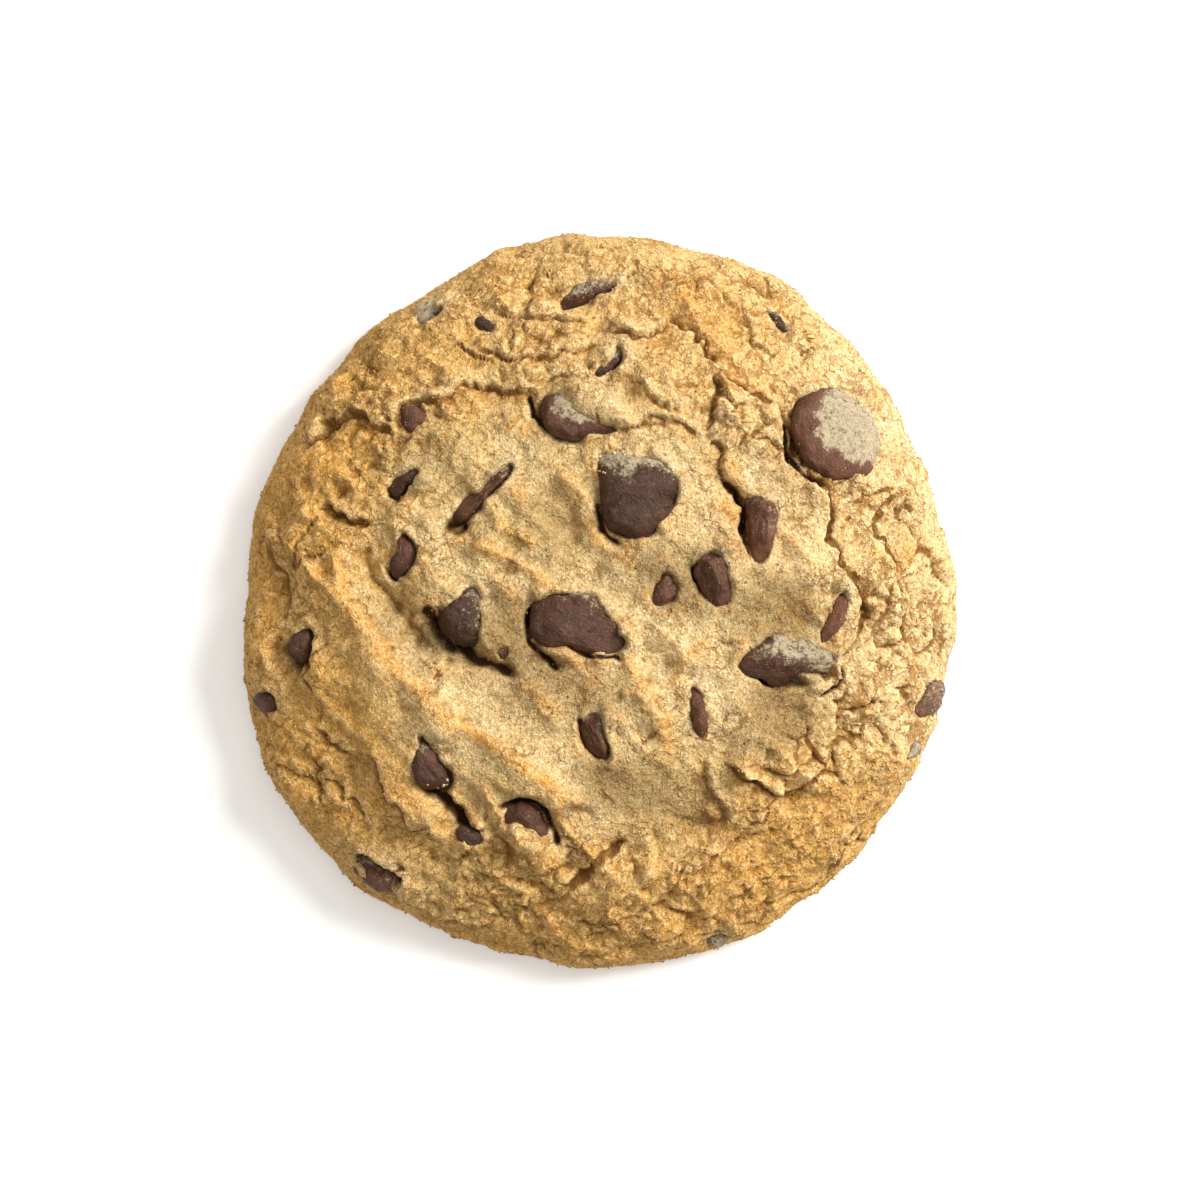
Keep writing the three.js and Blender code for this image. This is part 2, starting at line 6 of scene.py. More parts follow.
import bpy
import numpy as np
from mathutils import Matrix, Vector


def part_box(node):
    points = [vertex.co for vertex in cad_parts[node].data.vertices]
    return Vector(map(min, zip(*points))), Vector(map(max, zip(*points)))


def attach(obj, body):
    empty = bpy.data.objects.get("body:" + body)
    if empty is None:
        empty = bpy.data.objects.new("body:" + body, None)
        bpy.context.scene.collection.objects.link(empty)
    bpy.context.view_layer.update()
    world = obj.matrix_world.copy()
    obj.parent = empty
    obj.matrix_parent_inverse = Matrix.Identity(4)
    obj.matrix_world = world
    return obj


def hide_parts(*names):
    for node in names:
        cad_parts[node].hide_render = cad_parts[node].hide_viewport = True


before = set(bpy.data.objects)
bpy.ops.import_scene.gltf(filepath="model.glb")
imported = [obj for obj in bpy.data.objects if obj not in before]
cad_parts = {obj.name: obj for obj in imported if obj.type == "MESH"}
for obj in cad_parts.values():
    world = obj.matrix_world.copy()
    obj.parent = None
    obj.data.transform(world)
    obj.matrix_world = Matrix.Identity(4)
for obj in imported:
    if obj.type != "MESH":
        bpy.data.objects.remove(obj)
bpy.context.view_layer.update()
MM = 0.001


# ---------------------------------------------------------------------------------------------
# The chips. Baking chips and broken pieces of dark chocolate: rounded, with blunt noses and bitten
# edges. They keep their shape in the oven and come out satin, some filmed with dough. Each sits
# where the model's chip of the same name is, leaning with the crust under it.

# Each chip: direction of its nose in degrees; its edge, as half-length and half-width of a plain
# drop or as distances from the middle, evenly round anticlockwise from the nose; its
# half-thickness; and how far it leans, in degrees.
CHIPS = {
    "chip_01": (22, [3.7, 0.85], 2.2, 4),
    "chip_02": (-22, [1.3, 0.65], 1.3, 4),
    "chip_03": (217, [2.5, 1.3, 1.1, 1.1, 1.2, 1.5, 2.1, 2.6, 1.9, 1.0, 0.7, 1.0], 1.9, 4),
    "chip_04": (-20, [5.3, 4.6, 3.6, 2.9, 2.6, 3.0, 4.2, 4.2, 3.5, 3.0, 2.8, 3.1], 2.0, 14),
    "chip_05": (80, [1.6, 1.4], 1.7, 4),
    "chip_06": (35, [2.2, 1.9, 1.3, 1.3, 1.6, 2.1, 2.3, 2.2, 0.9, 1.0, 1.5, 1.9], 1.8, 4),
    "chip_07": (45, [4.9, 0.95], 2.6, 4),
    "chip_08": (100, [2.6, 1.2, 0.9, 1.0, 2.2, 3.1, 2.3, 1.9, 1.8, 1.7, 1.8, 2.1], 2.1, 4),
    "chip_09": (133, [7.1, 4.9, 4.7, 5.2, 4.6, 4.2, 3.6, 3.8, 4.3, 4.7, 4.7, 5.0], 3.0, 5),
    "chip_10": (116, [6.0, 5.5, 5.0, 4.6, 4.4, 4.8, 5.3, 5.1, 4.7, 4.2, 4.5, 5.3], 2.2, 12),
    "chip_11": (266, [4.9, 2.5, 1.8, 1.6, 1.7, 2.3, 2.9, 3.8, 1.9, 1.5, 1.6, 2.5], 2.6, 8),
    "chip_12": (295, [3.8, 2.6, 2.2, 2.2, 2.7, 3.6, 3.1, 2.4, 2.1, 1.9, 2.1, 2.9], 2.4, 4),
    "chip_13": (78, [2.1, 1.6], 1.8, 8),
    "chip_14": (-29, [6.2, 3.9, 3.4, 3.3, 3.3, 3.7, 5.2, 5.7, 5.6, 3.3, 3.6, 4.7], 2.8, 7),
    "chip_15": (72, [4.0, 2.8, 2.5, 2.6, 2.9, 2.9, 3.0, 3.2, 3.8, 2.6, 2.5, 2.8], 2.8, 7),
    "chip_16": (293, [3.7, 2.0, 1.4, 1.3, 1.5, 2.4, 2.6, 2.2, 1.8, 1.6, 1.9, 2.4], 2.2, 0),
    "chip_17": (-81, [3.1, 0.95], 2.0, 6),
    "chip_18": (182, [5.8, 3.4, 3.3, 2.5, 2.9, 5.1, 5.4, 3.5, 3.3, 2.4, 3.9, 4.3], 2.8, 10),
    "chip_19": (67, [3.3, 0.9], 2.0, 6),
    "chip_20": (63, [2.6, 1.2], 1.1, 0),
    "chip_21": (85, [2.1, 1.3], 1.9, 4),
    "chip_22": (-60, [1.7, 1.1], 1.3, 0),
    "chip_23": (310, [3.2, 2.4, 1.8, 1.6, 2.1, 3.0, 2.1, 1.9, 1.9, 2.1, 2.5, 2.9], 2.2, 0),
    "chip_24": (-40, [3.1, 2.0, 1.7, 1.7, 1.9, 2.3, 3.0, 3.3, 2.8, 1.9, 1.7, 1.9], 2.0, 0),
    "chip_25": (-33, [3.3, 1.3], 1.6, 0),
    "chip_26": (-42, [1.7, 0.40], 0.8, 0),
    "chip_27": (33, [2.1, 0.9], 1.0, 0),
    "chip_28": (-32, [1.6, 1.0], 1.2, 0),
    "chip_29": (-55, [1.4, 1.0], 1.3, 0),
    "chip_30": (15, [1.3, 0.6], 0.7, 0),
    "chip_31": (60, [1.5, 0.7], 0.8, 0),
}
LEAN_SIDE = 40                   # the side the chips lean to, in degrees
LARGE_CHIP = 2.0                 # a chip whose edge is further from its middle than this is large
# Chips with a film of dough on them: the side it comes from in degrees, how far it reaches in
# from that edge, the bare margin it leaves round the far edge, and how thick it lies.
FILMED = {
    "chip_01": (100, 1.3, 0.0, 0.6), "chip_03": (85, 2.2, 0.3, 0.7), "chip_04": (65, 5.4, 1.1, 0.95),
    "chip_05": (60, 1.0, 0.0, 0.4), "chip_07": (60, 1.6, 0.0, 0.45), "chip_09": (80, 2.4, 0.0, 0.85),
    "chip_10": (28, 9.6, 1.4, 0.9), "chip_11": (20, 1.5, 0.0, 0.4), "chip_12": (100, 2.2, 0.0, 0.4),
    "chip_13": (60, 1.0, 0.0, 0.35), "chip_14": (70, 2.2, 0.0, 0.5), "chip_15": (20, 2.4, 0.0, 0.5),
    "chip_16": (30, 1.3, 0.0, 0.5), "chip_18": (72, 3.9, 0.3, 0.8), "chip_20": (60, 4.5, 0.0, 0.45),
    "chip_23": (110, 1.8, 0.0, 0.5), "chip_25": (60, 2.0, 0.0, 0.5), "chip_27": (60, 5.0, 0.0, 0.8),
    "chip_26": (40, 2.0, 0.0, 0.5), "chip_30": (60, 3.0, 0.0, 0.8), "chip_31": (60, 3.0, 0.0, 0.7),
}
# How red-brown a chip's chocolate is, where it isn't plain dark.
REDDER = {
    "chip_07": 0.55, "chip_11": 0.75, "chip_12": 0.45, "chip_13": 0.75, "chip_14": 0.25, "chip_17": 0.9,
    "chip_19": 1.0, "chip_08": 0.35, "chip_05": 0.6, "chip_20": 0.8, "chip_24": 0.4, "chip_10": 0.6,
    "chip_04": 0.45, "chip_01": 0.4, "chip_29": 0.35, "chip_15": 0.1, "chip_09": 0.1, "chip_18": 0.3,
    "chip_25": 0.5, "chip_22": 0.5, "chip_16": 0.4, "chip_06": 0.3, "chip_21": 0.3, "chip_23": 0.3,
}
# Chips broken to flat faces: each face's slope across the chip and upwards, and the share of the
# chip's reach that way that is left.
BROKEN = {
    "chip_18": [(0.75, 0.66, 0.42), (-0.28, 0.96, 0.78), (0.2, -0.98, 0.9)],
    "chip_11": [(-0.7, 0.7, 0.55), (0.35, 0.94, 0.82)], "chip_12": [(-0.7, 0.7, 0.6), (0.3, 0.95, 0.85)],
    "chip_16": [(-0.6, 0.8, 0.6), (0.3, 0.95, 0.8)], "chip_07": [(0.7, 0.7, 0.5), (-0.4, 0.92, 0.8)],
    "chip_19": [(0.6, 0.8, 0.6), (-0.4, 0.92, 0.8)], "chip_03": [(0.6, 0.8, 0.6), (-0.3, 0.95, 0.8)],
    "chip_06": [(0.7, 0.7, 0.6), (-0.2, 0.98, 0.8)], "chip_24": [(-0.6, 0.8, 0.6), (0.4, 0.92, 0.85)],
}
CHIP_GRID = (84, 36)             # points round and down a large chip
CHIP_GRID_SMALL = (48, 22)
DROP_POWER = 2.3                 # above 2 a drop's ends are blunter than an ellipse's
DROP_WAVES = [(3, 0.07, 1), (5, 0.05, 2)]   # waves round a drop, their height, turn a chip number
SIDE_POWER = 0.72                # below 1 a chip's sides stand up more squarely
TOP_POWER = 0.9                  # and its top and bottom are flatter
TIP_THINNING = 0.45              # share of its thickness that a chip's far tip loses
BREAK_SOFTNESS = 0.06            # how rounded the edges of a broken face are
CHIPPED_FACES = 3                # smaller faces chipped off each chip at random
CHIPPED_LEFT = (0.78, 0.94)      # share of the chip's reach that they leave
CHIPPED_SOFTNESS = 0.12
CUT_AWAY = 0.9                   # share of what lies past a face that is cut away
# Dents of a chip: height, size, seed of the hills. Its streaks run along it, towards the nose.
CHIP_DENTS = [(0.22, 2.2, 3), (0.15, 1.0, 4)]
CHIP_PITS = [(0.09, 0.5, 6)]
CHIP_STREAKS = [(0.09, 0.35, 5)]
STREAK_STRETCH = 0.25
FILM_EDGE = [(0.9, 1.6, 7), (0.6, 0.6, 8)]  # how ragged the edge of the dough film is

# The dome of dough that the chips lean with, the same as the model's: heights of its top and rim,
# how far the rim tucks in underneath, the powers of its section, and the rim's radius every 15
# degrees, with fine ripples (how many, how high, turn).
DOME_HEIGHT = 15.2
RIM_HEIGHT = 2.6
TUCK = 1.7
PLAN_POWER = 0.68
HEIGHT_POWER = 1.12
SLOPE_STEP = 0.01                # half the step over which the dome's slope is taken, in radians
RIM_RADII = np.array([
    40.1, 39.3, 39.7, 40.1, 41.3, 40.7, 41.2, 40.7, 39.8, 39.7, 39.5, 40.0,
    39.9, 41.0, 42.2, 42.1, 41.6, 41.1, 41.2, 41.3, 41.1, 40.9, 39.9, 40.1])
RIM_RIPPLES = [(11, 0.12, 0.7), (17, 0.10, 2.1), (29, 0.07, 4.0)]


def round_cubic(values, angle):
    """A value at an angle: the cubic through the four nearest of values spaced evenly round."""
    values = np.asarray(values)
    count = len(values)
    place = np.mod(angle, 2 * np.pi) / (2 * np.pi) * count
    first = np.floor(place).astype(int)
    t = place - first
    p0, p1, p2, p3 = (values[(first + k) % count] for k in (-1, 0, 1, 2))
    bend = (2 * p0 - 5 * p1 + 4 * p2 - p3) * t ** 2 + (3 * p1 - p0 - 3 * p2 + p3) * t ** 3
    return p1 + 0.5 * ((p2 - p0) * t + bend)


def rim_radius(angle):
    """Distance from the middle to the rim: the listed radii joined smoothly, plus fine ripples."""
    radius = round_cubic(RIM_RADII, angle)
    for waves, height, turn in RIM_RIPPLES:
        radius = radius + height * np.sin(waves * angle + turn)
    return radius


def dome_section(turn):
    """Half-section of the dome: outwards as a power of sine, upwards as a power of cosine."""
    out = np.sin(turn) ** PLAN_POWER
    up = RIM_HEIGHT + (DOME_HEIGHT - RIM_HEIGHT) * np.maximum(0, np.cos(turn)) ** HEIGHT_POWER
    return out, up


def dome_frame(share, angle):
    """Point and outward normal of the dome at a share of the rim radius, by a central difference."""
    turn = np.arcsin(np.clip(share, 0, 1) ** (1 / PLAN_POWER))
    out_a, up_a = dome_section(np.maximum(0, turn - SLOPE_STEP))
    out_b, up_b = dome_section(np.minimum(np.pi / 2, turn + SLOPE_STEP))
    radius = rim_radius(angle)
    run, rise = (out_b - out_a) * radius, up_b - up_a
    length = np.hypot(run, rise)
    run, rise = run / length, rise / length
    c, s = np.cos(angle), np.sin(angle)
    point = np.stack([share * radius * c, share * radius * s, dome_section(turn)[1]], -1)
    normal = np.stack([-rise * c, -rise * s, run], -1)
    return point, normal


def smooth(t):
    """Three t squared less two t cubed, held between 0 and 1."""
    t = np.clip(t, 0, 1)
    return t * t * (3 - 2 * t)


BIT_MIXERS = (374761393, 668265263, 2147483647, 1274126177, 2246822519)    # large odd numbers
LOW_32_BITS = 0xFFFFFFFF
LOW_24_BITS = 0xFFFFFF


def lattice(x, y, z, seed):
    """A number between 0 and 1 for each whole-number place, by multiplying and folding bits."""
    a, b, c, d, e = BIT_MIXERS
    n = (x * a + y * b + z * c + seed * d) & LOW_32_BITS
    n = ((n ^ (n >> 13)) * d) & LOW_32_BITS
    n = ((n ^ (n >> 16)) * e) & LOW_32_BITS
    return ((n ^ (n >> 15)) & LOW_24_BITS) / float(LOW_24_BITS)


def hills(p, size, seed):
    """Smooth random hills of a given size, -1 to 1: lattice numbers blended by a fifth-power ease."""
    q = p / size
    cell = np.floor(q).astype(np.int64)
    f = q - cell
    ease = f ** 3 * (f * (f * 6 - 15) + 10)
    total = np.zeros(p.shape[:-1])
    for dx in (0, 1):
        for dy in (0, 1):
            for dz in (0, 1):
                corner = lattice(cell[..., 0] + dx, cell[..., 1] + dy, cell[..., 2] + dz, seed)
                weight = ease[..., 0] if dx else 1 - ease[..., 0]
                weight = weight * (ease[..., 1] if dy else 1 - ease[..., 1])
                weight = weight * (ease[..., 2] if dz else 1 - ease[..., 2])
                total += corner * weight
    return total * 2 - 1


def layered_hills(p, rows):
    """Hills of several sizes added up; each row is a height, a size and a seed."""
    return sum(height * hills(p, size, seed) for height, size, seed in rows)


def mesh_object(name, points, faces, material, colours=None):
    """A smooth-shaded mesh from points in millimetres, with an optional colour for each point."""
    mesh = bpy.data.meshes.new(name)
    mesh.from_pydata(points * MM, [], faces)
    mesh.polygons.foreach_set("use_smooth", np.ones(len(mesh.polygons), bool))
    for layer, values in (colours or {}).items():
        attribute = mesh.color_attributes.new(layer, "FLOAT_COLOR", "POINT")
        rgba = np.ones((len(points), 4))
        rgba[:, :3] = values
        attribute.data.foreach_set("color", rgba.ravel())
    mesh.materials.append(material)
    piece = bpy.data.objects.new(name, mesh)
    bpy.context.collection.objects.link(piece)
    return piece


def new_material(name):
    """A material with its node tree, and its Principled shader."""
    material = bpy.data.materials.new(name)
    material.use_nodes = True
    return material, material.node_tree, material.node_tree.nodes["Principled BSDF"]


def add_node(tree, kind, settings=None, **inputs):
    """A shader node with its settings, and its inputs set to numbers or linked to sockets."""
    node = tree.nodes.new(kind)
    for key, value in (settings or {}).items():
        setattr(node, key, value)
    for key, value in inputs.items():
        socket = node.inputs[int(key[1:])] if key[0] == "i" and key[1:].isdigit() else node.inputs[key]
        if isinstance(value, bpy.types.NodeSocket):
            tree.links.new(value, socket)
        else:
            socket.default_value = value
    return node


def worked_out(tree, operation, *values, **settings):
    """One number worked out from others: their sum, product, or the first two multiplied plus a third."""
    inputs = {f"i{k}": value for k, value in enumerate(values)}
    return add_node(tree, "ShaderNodeMath", {"operation": operation, **settings}, **inputs).outputs[0]


def stretched(tree, value, low, high, to_low, to_high, ease="LINEAR"):
    """A number moved from one range to another, straight or eased, and held inside the second."""
    return add_node(tree, "ShaderNodeMapRange", {"interpolation_type": ease}, Value=value,
                    i1=low, i2=high, i3=to_low, i4=to_high).outputs[0]


def mixed_tones(tree, amount, tone, other, way="MIX"):
    """A tone moved towards another by an amount, or towards its product with the other."""
    return add_node(tree, "ShaderNodeMix", {"data_type": "RGBA", "blend_type": way},
                    Factor=amount, A=tone, B=other).outputs["Result"]


def cloud_noise(tree, place, scale, detail, roughness):
    """Cloudy noise at so many waves a metre, with finer layers added."""
    return add_node(tree, "ShaderNodeTexNoise", Vector=place, Scale=scale, Detail=detail,
                    Roughness=roughness).outputs


def painted(tree, layer):
    """The colour or place that the mesh carries at each of its points, under a name."""
    return add_node(tree, "ShaderNodeAttribute", {"attribute_name": layer}).outputs


def bumped(tree, height, strength, depth, under=None, **settings):
    """The surface's direction with a height's slopes added, over the bumps of another if given."""
    bump = add_node(tree, "ShaderNodeBump", settings, Height=height, Strength=strength, Distance=depth)
    if under is not None:
        tree.links.new(under, bump.inputs["Normal"])
    return bump.outputs["Normal"]


def ball_grid(around, down):
    """Unit ball with its poles up and down: points ring by ring, closed by two pole points."""
    tilt = np.linspace(0, np.pi, down + 1)[1:-1]
    turn = np.arange(around) / around * 2 * np.pi
    tilt, turn = np.meshgrid(tilt, turn, indexing="ij")
    body = np.stack([np.sin(tilt) * np.cos(turn), np.sin(tilt) * np.sin(turn), np.cos(tilt)], -1)
    points = np.vstack([[[0, 0, 1]], body.reshape(-1, 3), [[0, 0, -1]]])
    ring = np.arange(around)
    nxt = (ring + 1) % around
    rows = 1 + np.arange(down - 2)[:, None] * around
    quads = np.stack([rows + ring, rows + around + ring, rows + around + nxt, rows + nxt], -1)
    last = 1 + (down - 2) * around
    top = np.stack([np.zeros(around, int), 1 + ring, 1 + nxt], -1)
    bottom = np.stack([np.full(around, last + around), last + nxt, last + ring], -1)
    faces = quads.reshape(-1, 4).tolist() + top.tolist() + bottom.tolist()
    return points, faces


def chip_edge(name, turn):
    """Distance from a chip's middle to its edge: a blunt ellipse with waves, or the listed ones."""
    nose, sizes = CHIPS[name][:2]
    away = turn - np.radians(nose)
    if len(sizes) > 2:
        return round_cubic(sizes, away)
    number = int(name[-2:])
    along, across = np.abs(np.cos(away)) / sizes[0], np.abs(np.sin(away)) / sizes[1]
    edge = (along ** DROP_POWER + across ** DROP_POWER) ** (-1 / DROP_POWER)
    wave = 1
    for count, height, steps in DROP_WAVES:
        wave = wave + height * np.sin(count * away + steps * number)
    return edge * wave


def chip_seat(name):
    """Middle of the model's chip, and its upward direction: the dome's, leaning a little."""
    low, high = (np.array(corner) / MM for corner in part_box(name))
    middle = (low + high) / 2
    angle = np.arctan2(middle[1], middle[0])
    _, up = dome_frame(np.hypot(middle[0], middle[1]) / rim_radius(angle), angle)
    lean = np.tan(np.radians(CHIPS[name][3]))
    up = up + lean * np.array([np.cos(np.radians(LEAN_SIDE)), np.sin(np.radians(LEAN_SIDE)), 0.0])
    return middle, up / np.linalg.norm(up)


def chip_surface(name, seed):
    """Points of one chip: a ball squared by powers, stretched out to its edge, chipped and dented."""
    nose, _, thickness, _ = CHIPS[name]
    nose = np.radians(nose)
    mean_edge = chip_edge(name, np.linspace(0, 2 * np.pi, 49)[:-1]).mean()
    half_size = np.array([mean_edge, mean_edge, thickness])
    ball, faces = ball_grid(*(CHIP_GRID if mean_edge > LARGE_CHIP else CHIP_GRID_SMALL))
    turn = np.arctan2(ball[:, 1], ball[:, 0])
    spread_out = np.hypot(ball[:, 0], ball[:, 1]) ** SIDE_POWER
    edge = chip_edge(name, turn)
    thinner = 1 - TIP_THINNING * smooth((edge / mean_edge - 1.05) / 0.6) * spread_out ** 2
    height = np.sign(ball[:, 2]) * np.abs(ball[:, 2]) ** TOP_POWER * thickness * thinner
    form = np.stack([spread_out * edge * np.cos(turn), spread_out * edge * np.sin(turn), height], -1)
    draw = np.random.default_rng(seed)
    side = nose + np.pi / 2
    cuts = [(np.array([across * np.cos(side), across * np.sin(side), upwards]), left, BREAK_SOFTNESS)
            for across, upwards, left in BROKEN.get(name, [])]
    for _ in range(CHIPPED_FACES):
        plane = draw.normal(size=3) * np.array([1, 1, 1.4]) / half_size
        cuts.append((plane / np.linalg.norm(plane), draw.uniform(*CHIPPED_LEFT), CHIPPED_SOFTNESS))
    for plane, left, softness in cuts:
        over = form @ plane - left * (form @ plane).max()
        form -= np.outer(CUT_AWAY * np.log1p(np.exp(np.minimum(over / softness, 60))) * softness, plane)
    outward = ball / half_size
    outward /= np.linalg.norm(outward, axis=1, keepdims=True)
    c, s = np.cos(nose), np.sin(nose)
    own = np.stack([form[:, 0] * c + form[:, 1] * s, form[:, 1] * c - form[:, 0] * s, form[:, 2]], -1)
    apart = 50 * seed                # so that no two chips share the same dents
    streaky = own * np.array([STREAK_STRETCH, 1, 1]) + apart
    dents = layered_hills(own + apart, CHIP_DENTS)
    dents += layered_hills(own + apart, CHIP_PITS) + layered_hills(streaky, CHIP_STREAKS)
    form += outward * (dents * min(1.0, mean_edge / LARGE_CHIP))[:, None]
    middle, up = chip_seat(name)
    slope = -(form[:, 0] * up[0] + form[:, 1] * up[1]) / up[2]
    points = middle + np.stack([form[:, 0], form[:, 1], slope], -1) + form[:, 2:] * up
    return points, outward, faces, streaky, spread_out, turn


def film_cover(name, points, outward, spread_out, turn):
    """Dough film: thickest at its own edge, thinning inwards, with a bare margin at the far edge."""
    if name not in FILMED:
        return np.zeros(len(points))
    side, reach, margin, strength = FILMED[name]
    side = np.radians(side)
    middle, _ = chip_seat(name)
    from_edge = chip_edge(name, side) - (points[:, 0] - middle[0]) * np.cos(side) \
        - (points[:, 1] - middle[1]) * np.sin(side)
    ragged = layered_hills(points, FILM_EDGE)
    cover = strength * smooth((reach + ragged - from_edge) / (0.6 * reach + 1.2) + 0.35)
    if margin:
        inside = (1 - spread_out) * chip_edge(name, turn) + 2 * margin * smooth(np.cos(turn - side) + 0.2)
        cover *= smooth((inside - margin + 0.8 * hills(points, 1.1, 9)) / 1.6 + 0.4)
    return cover * smooth((outward[:, 2] + 0.1) / 0.4)


# Tones of the chocolate and of the dough on it, as light reflected.
DARKEST = (0.030, 0.012, 0.007, 1)
LIGHTEST = (0.098, 0.046, 0.029, 1)
RED_BROWN = (0.30, 0.115, 0.058, 1)
DRY_FILM = (0.22, 0.165, 0.095, 1)
PALE_FILM = (0.74, 0.63, 0.42, 1)


def chocolate_material():
    """Dark chocolate: satin, finely streaked, redder in places, mottled where dough film lies."""
    material, tree, shader = new_material("dark_chocolate")
    place = add_node(tree, "ShaderNodeTexCoord").outputs["Object"]
    cover = add_node(tree, "ShaderNodeSeparateColor", Color=painted(tree, "cover")["Color"]).outputs
    streak = cloud_noise(tree, painted(tree, "own_place")["Vector"], 4.5, 5.0, 0.65)["Fac"]
    cloudy = cloud_noise(tree, place, 500.0, 4.0, 0.6)["Fac"]
    flaky = cloud_noise(tree, place, 1250.0, 3.0, 0.7)["Fac"]
    grain = cloud_noise(tree, place, 3600.0, 3.0, 0.65)["Fac"]
    # plain chocolate, from its darkest to its lightest, and redder by the amount painted on it
    halved = worked_out(tree, "MULTIPLY", cloudy, 0.5)
    shade = add_node(tree, "ShaderNodeValToRGB", Fac=worked_out(tree, "MULTIPLY_ADD", streak, 0.5, halved))
    for step, place_on_ramp, colour in ((0, 0.38, DARKEST), (1, 0.62, LIGHTEST)):
        shade.color_ramp.elements[step].position = place_on_ramp
        shade.color_ramp.elements[step].color = colour
    rosy = worked_out(tree, "MULTIPLY", cover["Green"], cloudy)
    warmed = mixed_tones(tree, rosy, shade.outputs["Color"], RED_BROWN)
    # the film breaks up into flakes where it is thin, and a few specks lie everywhere
    speck = stretched(tree, grain, 0.56, 0.74, 0.0, 0.22)
    thin = worked_out(tree, "MULTIPLY_ADD", flaky, 2.8, -1.4)
    thin = worked_out(tree, "MULTIPLY_ADD", grain, 1.5, thin)
    film = worked_out(tree, "MULTIPLY_ADD", cover["Red"], 1.5, thin)
    film = stretched(tree, film, 1.2, 2.2, 0.0, 0.95, "SMOOTHSTEP")
    dusted = worked_out(tree, "ADD", film, speck, use_clamp=True)
    dust = mixed_tones(tree, grain, DRY_FILM, PALE_FILM)
    tree.links.new(mixed_tones(tree, dusted, warmed, dust), shader.inputs["Base Color"])
    tree.links.new(stretched(tree, dusted, 0.0, 0.6, 0.46, 0.85), shader.inputs["Roughness"])
    shader.inputs["Specular IOR Level"].default_value = 0.3
    lines = bumped(tree, streak, 0.8, 0.0003)
    tree.links.new(bumped(tree, grain, 0.7, 0.00022, lines), shader.inputs["Normal"])
    return material


dark_chocolate = chocolate_material()
chip_points = {}
for number, chip in enumerate(CHIPS, start=1):
    surface, facing, chip_faces, own_place, spread_out, turn = chip_surface(chip, number)
    film = film_cover(chip, surface, facing, spread_out, turn)
    cover = np.stack([film, np.full(len(film), REDDER.get(chip, 0.0)), 0 * film], -1)
    piece = mesh_object(f"{chip}_chocolate", surface, chip_faces, dark_chocolate,
                        {"cover": cover, "own_place": own_place})
    chip_points[chip] = (surface, facing, film, turn)
    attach(piece, "root")
    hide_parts(chip)


# ---------------------------------------------------------------------------------------------
# The dough. One round of soft-baked cookie dough: it spread and domed in the oven, folded over
# itself on one side, and its dry crust tore into creases and a fine crackle. Flat underneath.

TOP_RINGS = 164                  # rings of the top; ring k has 6 k points
TUCK_RINGS = 10                  # rings of the tucked rim, each with as many points as the last
UNDER_STEP = 0.012               # the two coarser rings underneath are this share nearer the middle
RELIEF_FADE = (0.93, 1.0)        # shares of the rim radius between which the relief dies down
SIDE_RELIEF = 0.35               # share of the fine relief that is left beyond them
FOOT_HEIGHT = 1.2                # below this height all relief dies down, to none at the foot
HIGHEST = 16.8                   # the tallest crests are rounded off under this height

# Swellings and dips of the crust: middle, half-lengths, turn in degrees, height.
LUMPS = [
    ((16.6, 19.4), (4.2, 5.2), 20, 1.3),
    ((19.4, -17.6), (5.6, 3.4), 8, 1.2),
    ((7.4, 25.0), (5.0, 4.0), -20, 0.7),
    ((5.0, -31.4), (7.5, 3.2), 6, 0.9),
    ((15.0, -23.5), (2.6, 4.0), 30, 0.9),
    ((9.0, -22.6), (6.6, 3.0), -26, -1.3),
    ((0.5, 5.0), (9.5, 6.0), -35, -0.9),
    ((-30.0, 15.0), (3.8, 3.0), 25, 1.1),
    ((-32.2, 6.4), (3.0, 4.4), 8, 1.1),
    ((-35.0, 0.4), (1.8, 2.8), 0, -1.2),
    ((-14.0, 17.6), (7.0, 3.6), 0, 0.5),
    ((9.6, -4.4), (5.0, 3.2), -30, 0.5),
    ((-21.6, -26.4), (8.0, 4.5), -35, 0.6),
    ((33.4, 6.0), (3.0, 10.0), -8, 0.6),
    ((15.8, -12.8), (2.6, 2.2), 0, 0.7),
    ((12.6, -28.4), (3.0, 2.2), 0, 0.6),
    ((27.7, -15.7), (2.4, 3.4), 20, 0.6),
    ((22.6, -24.6), (3.4, 2.6), 30, 0.5),
    ((-18.9, 1.2), (3.4, 2.4), -40, 0.6),
    ((-27.2, -8.8), (10.0, 3.8), -55, 1.0),
]
